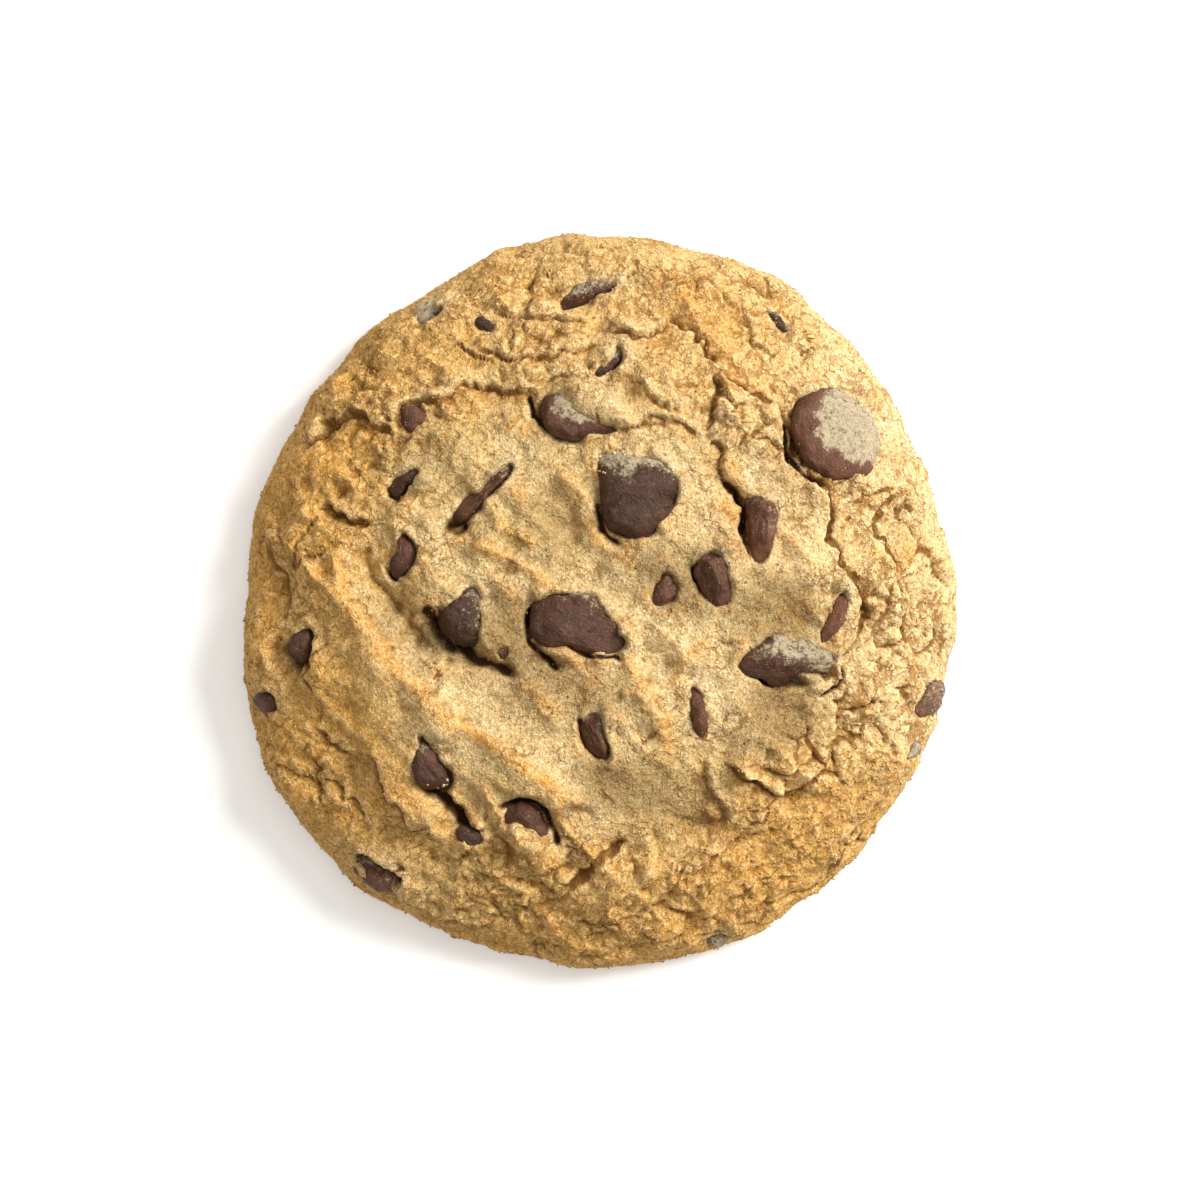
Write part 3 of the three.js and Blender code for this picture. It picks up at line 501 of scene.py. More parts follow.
# Folds: crest line, height, width on its left, width on its right.
FOLDS = [
    ([(-28.9, 6.4), (-28.3, 2.6), (-26.6, -1.2), (-24.2, -4.6), (-20.8, -8.8), (-17.2, -12.2),
      (-14.6, -14.4)], 1.4, 1.0, 12.0),
    ([(-19.4, -9.9), (-15.6, -13.1), (-11.6, -15.5), (-7.4, -18.9), (-1.5, -22.0)], 1.31, 2.2, 6.0),
    ([(-14.8, 6.6), (-11.0, 5.1), (-7.7, 3.4), (-4.4, 1.2)], 0.8, 1.3, 1.5),
    ([(-12.6, 3.0), (-10.5, 1.4), (-7.8, -0.4)], 0.6, 1.0, 1.2),
    ([(-3.2, 11.0), (-1.4, 8.6), (0.8, 5.8)], 0.6, 1.1, 1.4),
    ([(2.0, -5.6), (4.6, -8.9), (6.6, -11.4)], 0.7, 1.6, 1.6),
    ([(-4.8, -5.8), (-1.5, -8.2), (0.8, -10.6)], 0.6, 1.3, 1.5),
    ([(-26.6, 7.0), (-25.4, 3.0), (-22.9, -0.8), (-20.2, -3.6), (-17.9, -7.8)], -1.1, 0.9, 1.8),
    ([(-12.4, 9.6), (-9.0, 7.4), (-6.0, 6.0)], 0.5, 0.9, 1.2),
    ([(-9.6, -8.6), (-6.6, -10.6), (-3.6, -13.0)], 0.6, 1.0, 1.3),
    ([(-2.6, -8.8), (0.6, -11.4), (2.4, -14.2)], 0.6, 1.0, 1.3),
    ([(4.4, 3.4), (1.8, 5.4), (-1.6, 6.6)], 0.5, 1.0, 1.2),
    ([(3.6, -9.6), (6.6, -13.6), (8.2, -18.0)], 0.6, 1.2, 1.4),
    ([(12.6, -3.4), (9.4, -7.0), (8.2, -10.6)], 0.5, 1.2, 1.4),
]
# Creases: line with its high side on the left; rise and reach of that side; depth and width.
CREASES = [
    ([(-22.5, 18.2), (-21.6, 21.4), (-16.6, 22.3), (-14.0, 23.9), (-6.4, 22.8)], 0.9, 5.0, 0.8, 0.4),
    ([(-1.4, 18.2), (2.6, 19.2), (6.0, 20.6), (12.0, 18.2)], 0.7, 5.0, 0.7, 0.4),
    ([(12.0, 18.2), (13.7, 14.2), (16.3, 9.7), (17.0, 4.0)], 0.7, 3.5, 0.9, 0.4),
    ([(0.2, 30.4), (3.0, 29.6), (6.3, 29.5), (8.0, 31.8)], 0.8, 3.0, 1.4, 0.5),
    ([(13.2, 25.4), (11.6, 28.3), (7.6, 31.6)], 0.5, 4.0, 1.1, 0.4),
    ([(13.4, 25.8), (12.9, 23.0), (12.0, 18.0)], 0.5, 3.0, 1.1, 0.4),
    ([(26.6, -6.8), (29.5, -2.4), (28.5, 2.3), (25.9, 6.8), (26.0, 10.6), (22.4, 15.6),
      (20.0, 21.0), (13.0, 25.4)], 0.6, 5.0, 1.3, 0.5),
    ([(34.8, -5.0), (33.1, 2.5), (29.9, 8.5), (33.4, 12.9)], 0.3, 2.5, 0.8, 0.4),
    ([(35.8, -3.5), (32.0, -7.1), (30.0, -10.6), (31.0, -14.6)], 0.2, 3.0, 0.5, 0.3),
    ([(3.6, -26.7), (0.3, -28.6), (-4.9, -32.6)], 0.8, 4.0, 1.5, 0.5),
    ([(6.6, -29.7), (10.4, -29.8), (13.0, -28.0), (16.8, -26.2)], 0.45, 3.0, 0.6, 0.4),
    ([(13.4, -18.2), (16.4, -19.9), (20.6, -21.3), (24.2, -18.3)], 1.2, 3.5, 1.0, 0.4),
    ([(-31.2, 11.2), (-29.0, 9.1), (-24.6, 8.4)], 0.9, 4.0, 1.5, 0.6),
    ([(-33.4, 16.2), (-31.2, 18.0), (-27.6, 20.2), (-22.2, 18.0)], 0.8, 4.0, 0.9, 0.4),
    ([(11.0, -17.6), (11.8, -20.6), (13.4, -23.2), (13.1, -25.4)], 0.7, 3.0, 0.4, 0.4),
    ([(-37.9, 9.4), (-36.6, 4.4), (-34.2, -0.2), (-34.8, -3.0)], 0.6, 2.5, 0.7, 0.5),
    ([(-29.6, -28.4), (-25.6, -31.8), (-18.9, -35.0), (-12.6, -37.6)], 0.5, 3.0, 0.6, 0.5),
    ([(25.2, -32.0), (27.2, -27.6), (31.5, -22.3), (34.4, -18.2)], 0.5, 3.0, 0.6, 0.5),
    ([(-12.6, 32.0), (-7.7, 31.5), (-0.4, 31.3)], 0.5, 2.0, 0.8, 0.4),
    ([(-14.6, 28.2), (-11.0, 27.2), (-6.0, 26.7), (0.2, 28.2)], 0.5, 2.0, 0.8, 0.4),
    ([(2.6, 24.8), (6.4, 21.9), (10.0, 20.8)], 0.6, 2.5, 0.6, 0.4),
    ([(-25.6, -15.9), (-23.6, -21.0), (-21.0, -26.2)], 0.5, 2.5, 0.7, 0.4),
    ([(-7.4, 24.5), (-4.3, 24.8), (-0.2, 24.4)], 0.4, 1.6, 0.7, 0.3),
    ([(-16.8, 28.0), (-13.4, 27.0), (-11.0, 26.0)], 0.3, 1.6, 0.7, 0.3),
    ([(15.3, 34.2), (16.4, 31.4), (17.5, 29.0), (19.8, 28.1)], 0.4, 2.0, 0.6, 0.3),
    ([(26.2, 11.3), (30.2, 12.2), (33.6, 13.0)], 0.3, 1.6, 0.6, 0.3),
    ([(30.2, -13.4), (32.0, -15.8), (31.4, -19.2)], 0.3, 1.6, 0.5, 0.3),
    ([(16.8, -4.4), (14.5, -4.9), (11.6, -5.0)], 0.1, 1.0, 0.5, 0.25),
    ([(-30.6, -19.6), (-28.4, -21.4), (-26.2, -24.6)], 0.3, 1.6, 0.6, 0.3),
    ([(-31.9, -14.0), (-29.5, -16.2), (-27.2, -17.2)], 0.3, 1.6, 0.6, 0.3),
    ([(17.0, -25.6), (18.6, -23.4), (17.6, -21.8)], 0.3, 1.6, 0.6, 0.3),
    ([(22.8, -12.6), (23.0, -16.6), (24.8, -18.6)], 0.4, 2.0, 0.7, 0.35),
]
CREST_LIP = (0.35, 0.30, 1.0)    # extra height of the tallest crests, and its width on each side
LIP_FROM = 1.3                   # only crests at least this tall have the extra lip
TOASTED_BAND = (-0.10, 0.60)     # where the toasted line of a fold lies from its crest; half-width
HIGHLIGHT_BAND = (1.05, 0.50)         # and the painted highlight beside it, on the slope towards the lamp
CREASE_FADE = 1.6                # creases and folds die down this far from their ends
CREASE_SOFTNESS = 0.11           # how gently a crease's step goes from low to high
NEAR_BANK = (0.40, 1.2)          # share of the rise that the edge stands higher, and its reach
CUT_REACH = 1.2                  # the painted shade of a crease is worked out this far to each side
CRACK_REACH = 0.8                # and that of a crack of the crust
SIDE_REACH = 1.3                 # how far the painted shade on the low side of a crease and the painted highlight on its high lip reach
CURVE_STEPS = 5                  # straight steps between two points of a line

# Pits, in rows like the swellings'.
PITS = [
    ((-18.3, -4.6), (4.6, 1.5), -34, -2.0),
    ((21.2, 17.8), (4.4, 1.2), 104, -1.4),
    ((16.3, 8.4), (4.2, 0.9), 96, -1.4),
    ((-34.4, -6.8), (2.6, 1.3), -64, -1.6),
    ((-16.9, -23.6), (3.6, 1.5), -55, -1.6),
    ((-7.4, -23.6), (2.8, 1.4), -32, -1.6),
    ((-4.6, 19.6), (3.8, 1.3), -40, -1.2),
    ((-5.6, -3.2), (4.0, 1.3), -50, -1.2),
    ((2.6, 9.4), (3.4, 1.4), -50, -1.0),
    ((-16.0, 8.6), (1.4, 1.2), 0, -1.6),
    ((13.6, -38.6), (1.6, 1.1), 15, -0.9),
]
# Chocolate melted into narrow hollows of the dough, its dark partly painted shade of the hollow: its line and
# half-width.
MELTED = [
    ([(-19.6, -0.9), (-18.3, -2.9), (-16.8, -4.2), (-15.2, -5.2), (-14.0, -6.4), (-11.1, -7.4),
      (-9.4, -8.2)], 0.65),
    ([(-34.7, -4.9), (-34.3, -6.0), (-33.7, -8.0)], 0.45),
    ([(-19.4, -20.9), (-17.4, -22.3), (-15.6, -24.6), (-13.6, -26.4)], 0.50),
    ([(-19.2, -14.6), (-19.0, -16.4)], 0.30),
    ([(-11.2, -23.3), (-9.4, -22.5), (-7.0, -23.2), (-5.5, -25.4), (-5.0, -27.2)], 0.40),
    ([(-2.6, -13.3), (-2.0, -15.9), (0.0, -18.0)], 0.32),
    ([(13.9, 13.6), (15.0, 12.2), (15.9, 9.6), (16.4, 6.2)], 0.38),
    ([(20.4, 20.0), (21.0, 17.0), (22.9, 14.0), (25.0, 12.6)], 0.30),
    ([(-16.8, 9.7), (-17.2, 7.5)], 0.42),
    ([(-15.2, 8.7), (-14.7, 7.7)], 0.36),
    ([(9.9, 4.1), (10.7, 2.4), (11.5, 0.6)], 0.36),
    ([(17.2, -7.9), (19.2, -9.5), (21.4, -9.1)], 0.32),
    ([(26.9, -7.0), (26.6, -9.1), (24.4, -10.3)], 0.28),
    ([(-8.1, 22.8), (-6.8, 20.0), (-4.6, 18.0)], 0.26),
    ([(-0.1, 10.9), (0.6, 7.8), (2.3, 6.5)], 0.32),
    ([(-7.9, -0.8), (-8.0, -3.4), (-7.1, -5.4), (-5.7, -6.8), (-4.5, -7.8)], 0.30),
    ([(-3.6, -5.3), (-0.8, -6.6), (2.4, -6.5)], 0.24),
    ([(-23.5, 3.6), (-22.6, 2.1)], 0.32),
    ([(-23.6, 12.8), (-22.9, 11.4), (-22.1, 10.9)], 0.38),
]
MELT_DEPTH = 1.3
# Lobes of dough lapping over the edge of a chip, in rows like the swellings'.
LOBES = [
    ((-6.6, -27.9), (2.6, 2.3), 0, 1.3),
    ((-8.4, -26.2), (2.1, 1.4), -30, 1.4),
    ((4.4, 7.8), (1.0, 1.7), 0, 1.4),
    ((-4.9, -5.3), (2.6, 1.2), -25, 1.5),
    ((-12.0, -4.2), (1.7, 1.1), -40, 0.8),
    ((-1.2, 22.0), (4.0, 1.9), -32, 1.5),
    ((0.3, 27.2), (1.3, 1.9), -30, 1.2),
    ((13.8, 6.1), (1.4, 1.0), 20, 1.1),
    ((-19.6, 13.0), (1.2, 1.0), 0, 1.0),
    ((23.4, -9.0), (1.8, 1.0), -20, 0.9),
]
# Where the crust stayed soft and whole: middle, half-lengths, turn, how much calmer.
CALM = [
    ((-17.0, -10.0), (19.0, 5.5), -42, 0.6),
    ((-24.0, -14.0), (11.0, 6.5), -50, 0.45),
    ((1.0, -20.0), (8.0, 6.0), -30, 0.5),
]


def bell(x, y, at, half, turn, height=1.0, power=1.5):
    """A swelling or pit: a bell over an ellipse."""
    c, s = np.cos(np.radians(turn)), np.sin(np.radians(turn))
    along = ((x - at[0]) * c + (y - at[1]) * s) / half[0]
    across = ((y - at[1]) * c - (x - at[0]) * s) / half[1]
    return height * np.exp(-(along ** 2 + across ** 2) ** power)


def curve_points(line):
    """A smooth curve through a line's points: cubics whose slopes follow their neighbours."""
    p = np.asarray(line, float)
    n = len(p) - 1
    t = np.linspace(0, n, n * CURVE_STEPS + 1)
    i = np.minimum(np.floor(t).astype(int), n - 1)
    w = (t - i)[:, None]
    a, b = p[i], p[i + 1]
    slope_a = (b - p[np.maximum(i - 1, 0)]) / 2
    slope_b = (p[np.minimum(i + 2, n)] - a) / 2
    return (2 * a - 2 * b + slope_a + slope_b) * w ** 3 \
        + (3 * b - 3 * a - 2 * slope_a - slope_b) * w ** 2 + slope_a * w + a


def near_curve(x, y, line):
    """Distance to a curve, the same signed positive on its left, and distance from its ends."""
    points = curve_points(line)
    best = np.full(x.shape, np.inf)
    signed = np.zeros(x.shape)
    along = np.zeros(x.shape)
    walked = 0.0
    for a, b in zip(points[:-1], points[1:]):
        step = b - a
        length = np.hypot(*step)
        px, py = x - a[0], y - a[1]
        t = np.clip((px * step[0] + py * step[1]) / length ** 2, 0, 1)
        distance = np.hypot(px - t * step[0], py - t * step[1])
        closer = distance < best
        side = np.where(step[0] * py - step[1] * px >= 0, 1.0, -1.0)
        signed = np.where(closer, side * distance, signed)
        along = np.where(closer, walked + t * length, along)
        best = np.where(closer, distance, best)
        walked += length
    return best, signed, np.minimum(along, walked - along)


def fold_height(x, y, line, height, left, right):
    """A fold: a crest falling away as a rounded exponential each side; its toasted band, and a painted
    highlight band on the slope next to it.
    """
    distance, signed, ends = near_curve(x, y, line)
    width = np.where(signed > 0, left, right)
    fade = smooth(ends / (CREASE_FADE + 0.5 * distance))
    rise = height * fade * 1.3 * np.exp(-1.3 * np.sqrt((distance / width) ** 2 + 0.015))
    if height > LIP_FROM:
        lip, lip_left, lip_right = CREST_LIP
        rise += lip * fade * np.exp(-distance / np.where(signed > 0, lip_left, lip_right))
    toasted, pale = (np.exp(-((signed - off) / half) ** 2) for off, half in (TOASTED_BAND, HIGHLIGHT_BAND))
    toasted = toasted * (height > 0)
    return rise, fade * toasted * min(1.0, 0.4 + 0.4 * height), fade * pale * (height > LIP_FROM)


def melted_hollow(x, y, line, half_width):
    """A narrow hollow: a groove, and a share that is 1 along its middle and one half at its edge."""
    distance, _, ends = near_curve(x, y, line)
    fade = smooth(ends / 0.9 + 0.35)
    share = fade * np.clip(1 - distance / (1.6 * half_width), 0, 1)
    return -MELT_DEPTH * fade * np.exp(-(distance / (1.2 * half_width)) ** 2), share


def crease_height(x, y, line, rise, reach, depth, width):
    """A crease: a groove, the dough on its left higher; its painted shade; and painted shade on its low side
    with a painted highlight on its high side.
    """
    height = np.zeros(x.shape)
    cut = np.zeros(x.shape)
    side_shade_and_highlight = np.zeros(x.shape)
    spots = np.asarray(line)
    low, high = spots.min(0) - 3.2 * reach, spots.max(0) + 3.2 * reach
    near = (x > low[0]) & (x < high[0]) & (y > low[1]) & (y < high[1])
    distance, signed, ends = near_curve(x[near], y[near], line)
    fade = smooth(ends / (CREASE_FADE + 0.7 * distance))
    edge_share, edge_reach = NEAR_BANK
    bank = (rise * np.exp(-distance / reach) + edge_share * rise * np.exp(-distance / edge_reach)) \
        / (1 + np.exp(-np.clip(signed / CREASE_SOFTNESS, -40, 40)))
    height[near] = fade * (bank - depth * np.exp(-(distance / (0.6 * width)) ** 2))
    cut[near] = fade * np.minimum(1, 0.4 + 0.6 * depth) * np.clip(1 - distance / CUT_REACH, 0, 1)
    side = np.where(signed > 0, -1.0, 1.0)
    side_shade_and_highlight[near] = fade * np.exp(-distance / SIDE_REACH) * side * min(1.0, 1.4 * rise)
    return height, cut, side_shade_and_highlight


def cells(p, size, seed):
    """Random cells, one seed point a lattice cube: distance to the nearest cell wall, and a tilt."""
    q = p / size
    home = np.floor(q).astype(np.int64)
    first = np.full(q.shape[:-1], np.inf)
    second = np.full(q.shape[:-1], np.inf)
    tilt = np.zeros(q.shape[:-1])
    for dx in (-1, 0, 1):
        for dy in (-1, 0, 1):
            for dz in (-1, 0, 1):
                x, y, z = home[..., 0] + dx, home[..., 1] + dy, home[..., 2] + dz
                turn, rise = lattice(x, y, z, seed), lattice(x, y, z, seed + 1)
                off_x = q[..., 0] - x - 0.05 - 0.9 * turn
                off_y = q[..., 1] - y - 0.05 - 0.9 * rise
                off_z = q[..., 2] - z - 0.05 - 0.9 * lattice(x, y, z, seed + 2)
                away = off_x ** 2 + off_y ** 2 + off_z ** 2
                closer = away < first
                second = np.where(closer, first, np.minimum(second, away))
                slope = off_x * np.cos(40 * turn) + off_y * np.sin(40 * turn) + 0.7 * (rise - 0.5)
                tilt = np.where(closer, slope, tilt)
                first = np.where(closer, away, first)
    return (np.sqrt(second) - np.sqrt(first)) * size, tilt


def crackle(p, size, seed, closing):
    """Cracked crust: grooves between rounded, tilted blocks, opened by hills; nearness of a crack."""
    wall, tilt = cells(p, size, seed)
    opened = smooth((hills(p, 1.7 * size, seed + 4) - closing) / 0.6)
    width = size * (0.04 + 0.04 * (1 + hills(p, 1.2 * size, seed + 5)))
    tipped = 0.6 * (0.3 + opened) * tilt * smooth(wall / (2 * width))
    block = tipped + 0.4 * opened * smooth(2.2 * wall / size)
    return block - 0.9 * opened * np.exp(-wall / width), opened * np.clip(1 - wall / CRACK_REACH, 0, 1)


def ledges(p, size, step, seed):
    """Torn layers: hills cut into level steps, each with a short ragged edge."""
    rows = [(1.0, size, seed), (0.35, 0.4 * size, seed + 1), (0.18, 0.16 * size, seed + 2)]
    level = layered_hills(p, rows)
    whole = np.floor(level / step)
    return (whole + smooth((level / step - whole - 0.72) / 0.28)) * step


def sector(angle, share, middle, half_spread, start):
    """Weight of the outer crust on one side: 1 near the middle direction, past a share of the rim."""
    away = np.abs(np.angle(np.exp(1j * (angle - np.radians(middle)))))
    return smooth((np.radians(half_spread) - away) / np.radians(35) + 0.5) * smooth((share - start) / 0.2)


# Hills that lead lines and patches astray, so none runs straight: height, size, seed.
WANDER_X = [(0.55, 3.4, 11), (0.44, 1.3, 12), (0.22, 0.6, 13)]
WANDER_Y = [(0.55, 3.4, 21), (0.44, 1.3, 22), (0.22, 0.6, 23)]
GRIT = [(0.16, 1.0, 34), (0.11, 0.6, 35)]
# The outer crust by its side: middle and half-spread in degrees, and the share it starts from.
RIGHT, BELOW, ABOVE, LEFT = (0, 55, 0.52), (-75, 45, 0.52), (90, 50, 0.45), (190, 60, 0.55)


def drawn_relief(p, wander_x, wander_y):
    """Swellings, folds, creases, hollows and pits added up; and painted crack shade, painted shade and
    highlight by the creases and folds, toasting, and melted chocolate, partly painted shade.
    """
    x, y = p[:, 0], p[:, 1]
    wx, wy = x + wander_x, y + wander_y
    form, toasted, highlight_band, cut, side_shade_and_highlight, melt = np.zeros((6, len(p)))
    for lump in LUMPS:
        form += bell(wx, wy, *lump)
    for fold in FOLDS:
        height, crest, pale = fold_height(x + 0.75 * wander_x, y + 0.75 * wander_y, *fold)
        form += height * (1 + 0.3 * hills(p, 2.8, 37))
        toasted = np.maximum(toasted, crest * (1.1 + 0.6 * hills(p, 1.9, 38)))
        highlight_band = np.maximum(highlight_band, pale * (0.9 + 0.6 * hills(p, 1.3, 42)))
    for crease in CREASES:
        height, line_cut, line_shade_and_highlight = crease_height(wx, wy, *crease)
        form += height
        side_shade_and_highlight = np.where(np.abs(line_shade_and_highlight) > np.abs(side_shade_and_highlight), line_shade_and_highlight, side_shade_and_highlight)
        cut = np.maximum(cut, line_cut * (0.98 + 0.35 * hills(p, 2.6, 36)))
    for hollow in MELTED:
        height, line_melt = melted_hollow(x + 0.6 * wander_x, y + 0.6 * wander_y, *hollow)
        form += height
        melt = np.maximum(melt, line_melt * (0.9 + 0.5 * hills(p, 1.2, 40)))
    for pit in PITS:
        form += bell(wx, wy, *pit, power=2.0)
    side_shade_and_highlight = np.where(highlight_band > 0.02, np.minimum(side_shade_and_highlight, -highlight_band), side_shade_and_highlight)
    return form, cut, side_shade_and_highlight, toasted, melt


def crust_relief(p, share, angle):
    """Form and fine relief over the dome; how rough; painted crack shade; painted shade and highlight by the
    creases and folds; toasting; and melted chocolate, partly painted shade.
    """
    x, y = p[:, 0], p[:, 1]
    wander_x, wander_y = layered_hills(p, WANDER_X), layered_hills(p, WANDER_Y)
    form, cut, side_shade_and_highlight, toasted, melt = drawn_relief(p, wander_x, wander_y)
    right, below, above, left = (sector(angle, share, *side) for side in (RIGHT, BELOW, ABOVE, LEFT))
    rough = np.clip(0.42 + 0.6 * right + 0.55 * below + 0.5 * above + 0.35 * left, 0, 1.1)
    whole = np.ones(len(p))
    for at, half, turn, amount in CALM:
        whole *= 1 - bell(x, y, at, half, turn, amount, power=2.0)
    rough *= whole
    # soft swellings that run slantwise, with toasted ridges
    slanted = np.stack([0.40 * (x - y), 0.85 * (x + y), p[:, 2]], -1) + 0.3 * wander_x[:, None]
    ridges = 1 - 2.2 * np.abs(hills(slanted, 5.4, 30)) + 0.4 * (1 - 2.2 * np.abs(hills(slanted, 2.8, 29)))
    soft = 0.55 * ridges + 0.6 * hills(slanted, 6.0, 31)
    soft = (0.45 + 0.55 * whole) * (soft + 0.34 * hills(p, 3.2, 32) + 0.27 * hills(p, 1.7, 33))
    ridge_tops = smooth((ridges - 0.80) / 0.45) * (0.45 + 0.8 * hills(p, 2.3, 43))
    toasted = np.maximum(toasted, 0.60 * ridge_tops)
    # crackle: long blocks round the rim, wide ones elsewhere, small ones over both
    wx, wy = x + wander_x, y + wander_y
    ringwise = np.stack([np.hypot(wx, wy), angle * 40.0 * 0.55, p[:, 2] * 0.8], -1)
    torn = np.stack([wx, wy, p[:, 2]], -1)
    round_the_rim = np.clip(right + 0.8 * above + 0.55 * below, 0, 1)
    ring_blocks, ring_cracks = crackle(ringwise, 3.0, 41, -0.12)
    wide_blocks, wide_cracks = crackle(torn, 3.9, 45, -0.35 * below)
    small_blocks, small_cracks = crackle(torn + 0.2 * wander_x[:, None], 1.7, 51, -0.05)
    large = round_the_rim * ring_blocks + (1 - round_the_rim) * wide_blocks
    cracked = np.maximum(round_the_rim * ring_cracks, (1 - round_the_rim) * wide_cracks)
    cracked = np.maximum(cracked, 0.86 * small_cracks)
    cracked = cracked * (0.78 + 0.25 * np.minimum(1, rough)) * (0.92 + 0.3 * hills(p, 1.8, 39))
    layers = 0.55 * ledges(torn + 0.4 * wander_y[:, None], 3.8, 0.46, 81)
    fine = soft + rough * (0.84 * large + 0.28 * small_blocks + layers)
    fine = fine + (0.45 + 0.55 * rough) * layered_hills(p, GRIT)
    return form, fine, rough, np.maximum(cut, cracked), side_shade_and_highlight, toasted, melt


# Where the crust has drawn back from a chip: the side in degrees, and the gap's width and depth.
GAPS = {
    "chip_01": (260, 0.3, 0.7), "chip_04": (225, 0.4, 1.0), "chip_06": (215, 0.3, 0.8),
    "chip_07": (215, 0.5, 1.0), "chip_08": (215, 0.3, 0.8), "chip_09": (225, 0.4, 1.2),
    "chip_10": (190, 0.7, 1.3), "chip_11": (190, 0.5, 1.3), "chip_12": (200, 0.5, 1.2),
    "chip_13": (200, 0.3, 0.7), "chip_14": (215, 0.3, 1.2), "chip_15": (222, 1.0, 1.4),
    "chip_16": (215, 0.4, 1.2), "chip_17": (190, 0.3, 0.8), "chip_18": (250, 0.6, 1.2),
    "chip_19": (200, 0.3, 0.6), "chip_21": (215, 1.0, 1.2), "chip_23": (285, 0.6, 1.3),
    "chip_24": (50, 0.4, 1.6),
}
CHIP_REACH = 11.0                # the crust is changed up to this far from a chip's middle
SOCKET_DEPTH = 1.6               # how far the crust is pressed down under a chip
LIP = (0.40, 0.25, 0.6)          # the lip round a chip: height, place outside its edge, half-width
SLIM_CHIP = 2.0                  # a chip whose edge comes nearer its middle has smaller lobes
LOBE_SIZE = (0.55, 1.1)          # lobes of the lip, at random: half-width
LOBE_HEIGHT = (0.4, 0.85)
DUST_SIDE = 50                   # the side of the chips that the pale dusty dough lies on


def round_chips(p, share):
    """How the crust meets each chip: lips and lobes over its edge, a gap, a socket under it."""
    change = np.zeros(len(p))
    x, y = p[:, 0] + 0.3 * hills(p, 1.3, 12), p[:, 1] + 0.3 * hills(p, 1.3, 22)
    for lobe in LOBES:
        change += bell(x, y, *lobe, power=2.2)
    lapping = smooth(change / 0.8)
    gap = np.zeros(len(p))
    nearness = np.zeros(len(p))
    for name in CHIPS:
        middle, _ = chip_seat(name)
        away_x, away_y = p[:, 0] - middle[0], p[:, 1] - middle[1]
        close = np.hypot(away_x, away_y) < CHIP_REACH
        away_x, away_y, here = away_x[close], away_y[close], p[close]
        turn = np.arctan2(away_y, away_x)
        outside = np.hypot(away_x, away_y) - chip_edge(name, turn)
        facing = np.zeros(len(turn))
        width = depth = 0.0
        if name in GAPS:
            side, width, depth = GAPS[name]
            facing = smooth((np.cos(turn - np.radians(side)) - 0.1) / 0.6)
        height, off_edge, half_width = LIP
        lip = height * np.exp(-((outside - off_edge) / half_width) ** 2) * (1 + 0.9 * hills(here, 1.1, 71))
        slim = min(1.0, chip_edge(name, turn).min() / SLIM_CHIP)
        draw = np.random.default_rng(int(name[-2:]) + 200)
        for lobe_turn in draw.uniform(0, 2 * np.pi, 4 + int(CHIPS[name][1][0])):
            size_here = draw.uniform(*LOBE_SIZE) * (0.4 + 0.6 * slim)
            height = draw.uniform(*LOBE_HEIGHT) * (0.3 + 0.7 * slim)
            edge = chip_edge(name, lobe_turn)
            distance = np.hypot(away_x - edge * np.cos(lobe_turn), away_y - edge * np.sin(lobe_turn))
            lip = np.maximum(lip, height * np.exp(-(distance / size_here) ** 2.6))
        lip *= (1 - facing) * smooth((0.93 - share[close]) / 0.1)
        drop = depth * facing * smooth((width + 0.5 * width * hills(here, 1.4, 72) - outside) / 0.8)
        under = SOCKET_DEPTH * smooth((-outside - 0.2) / 0.6) * (1 - lapping[close]) * (1 - smooth(lip / 0.7))
        change[close] += lip - np.maximum(drop, under)
        gap[close] = np.maximum(gap[close], np.maximum(drop, under))
        near = np.exp(-np.clip(outside, 0, None) / 2.0) * min(1.0, CHIPS[name][1][0] / 3.0)
        near *= 0.45 + 0.55 * np.cos(turn - np.radians(DUST_SIDE))
        nearness[close] = np.maximum(nearness[close], near)
    return change, gap, nearness


def spread(values, faces, times):
    """Average each point's value with its neighbours', again and again."""
    a, b, c = faces.T
    ends = np.concatenate([a, b, c, b, c, a])
    others = np.concatenate([b, c, a, a, b, c])
    count = np.bincount(ends, minlength=len(values))
    for _ in range(times):
        values = 0.5 * values + 0.5 * np.bincount(ends, values[others], len(values)) / count
    return values


def ring_shares(count):
    """Shares of the rim radius that space rings evenly along the dome's half-section."""
    out, up = dome_section(np.linspace(0, np.pi / 2, 4001))
    length = np.concatenate([[0], np.cumsum(np.hypot(np.diff(out) * RIM_RADII.mean(), np.diff(up)))])
    return np.interp(np.linspace(0, length[-1], count + 1), length, out)


def fan_rings(count, first):
    """Triangles of nested rings of 6, 12, 18... points round a middle point, facing up."""
    faces = [np.stack([np.zeros(6, int), 1 + np.arange(6), 1 + (np.arange(6) + 1) % 6], -1)]
    for ring in range(2, count + 1):
        inner, outer = 1 + 3 * (ring - 1) * (ring - 2), 1 + 3 * ring * (ring - 1)
        sixth, step = np.meshgrid(np.arange(6), np.arange(ring), indexing="ij")
        sixth, step = sixth.ravel(), step.ravel()
        near = inner + (sixth * (ring - 1) + step) % (6 * (ring - 1))
        near_next = inner + (sixth * (ring - 1) + step + 1) % (6 * (ring - 1))
        far = outer + sixth * ring + step
        far_next = outer + (sixth * ring + step + 1) % (6 * ring)
        faces.append(np.stack([near, far, far_next], -1))
        faces.append(np.stack([near, far_next, near_next], -1)[step < ring - 1])
    return np.vstack(faces) + first


def band(outer, inner, count):
    """Two triangles a step between two rings of the same count, from the upper to the lower."""
    k = np.arange(count)
    n = (k + 1) % count
    return np.vstack([np.stack([outer + k, inner + k, inner + n], -1),
                      np.stack([outer + k, inner + n, outer + n], -1)])


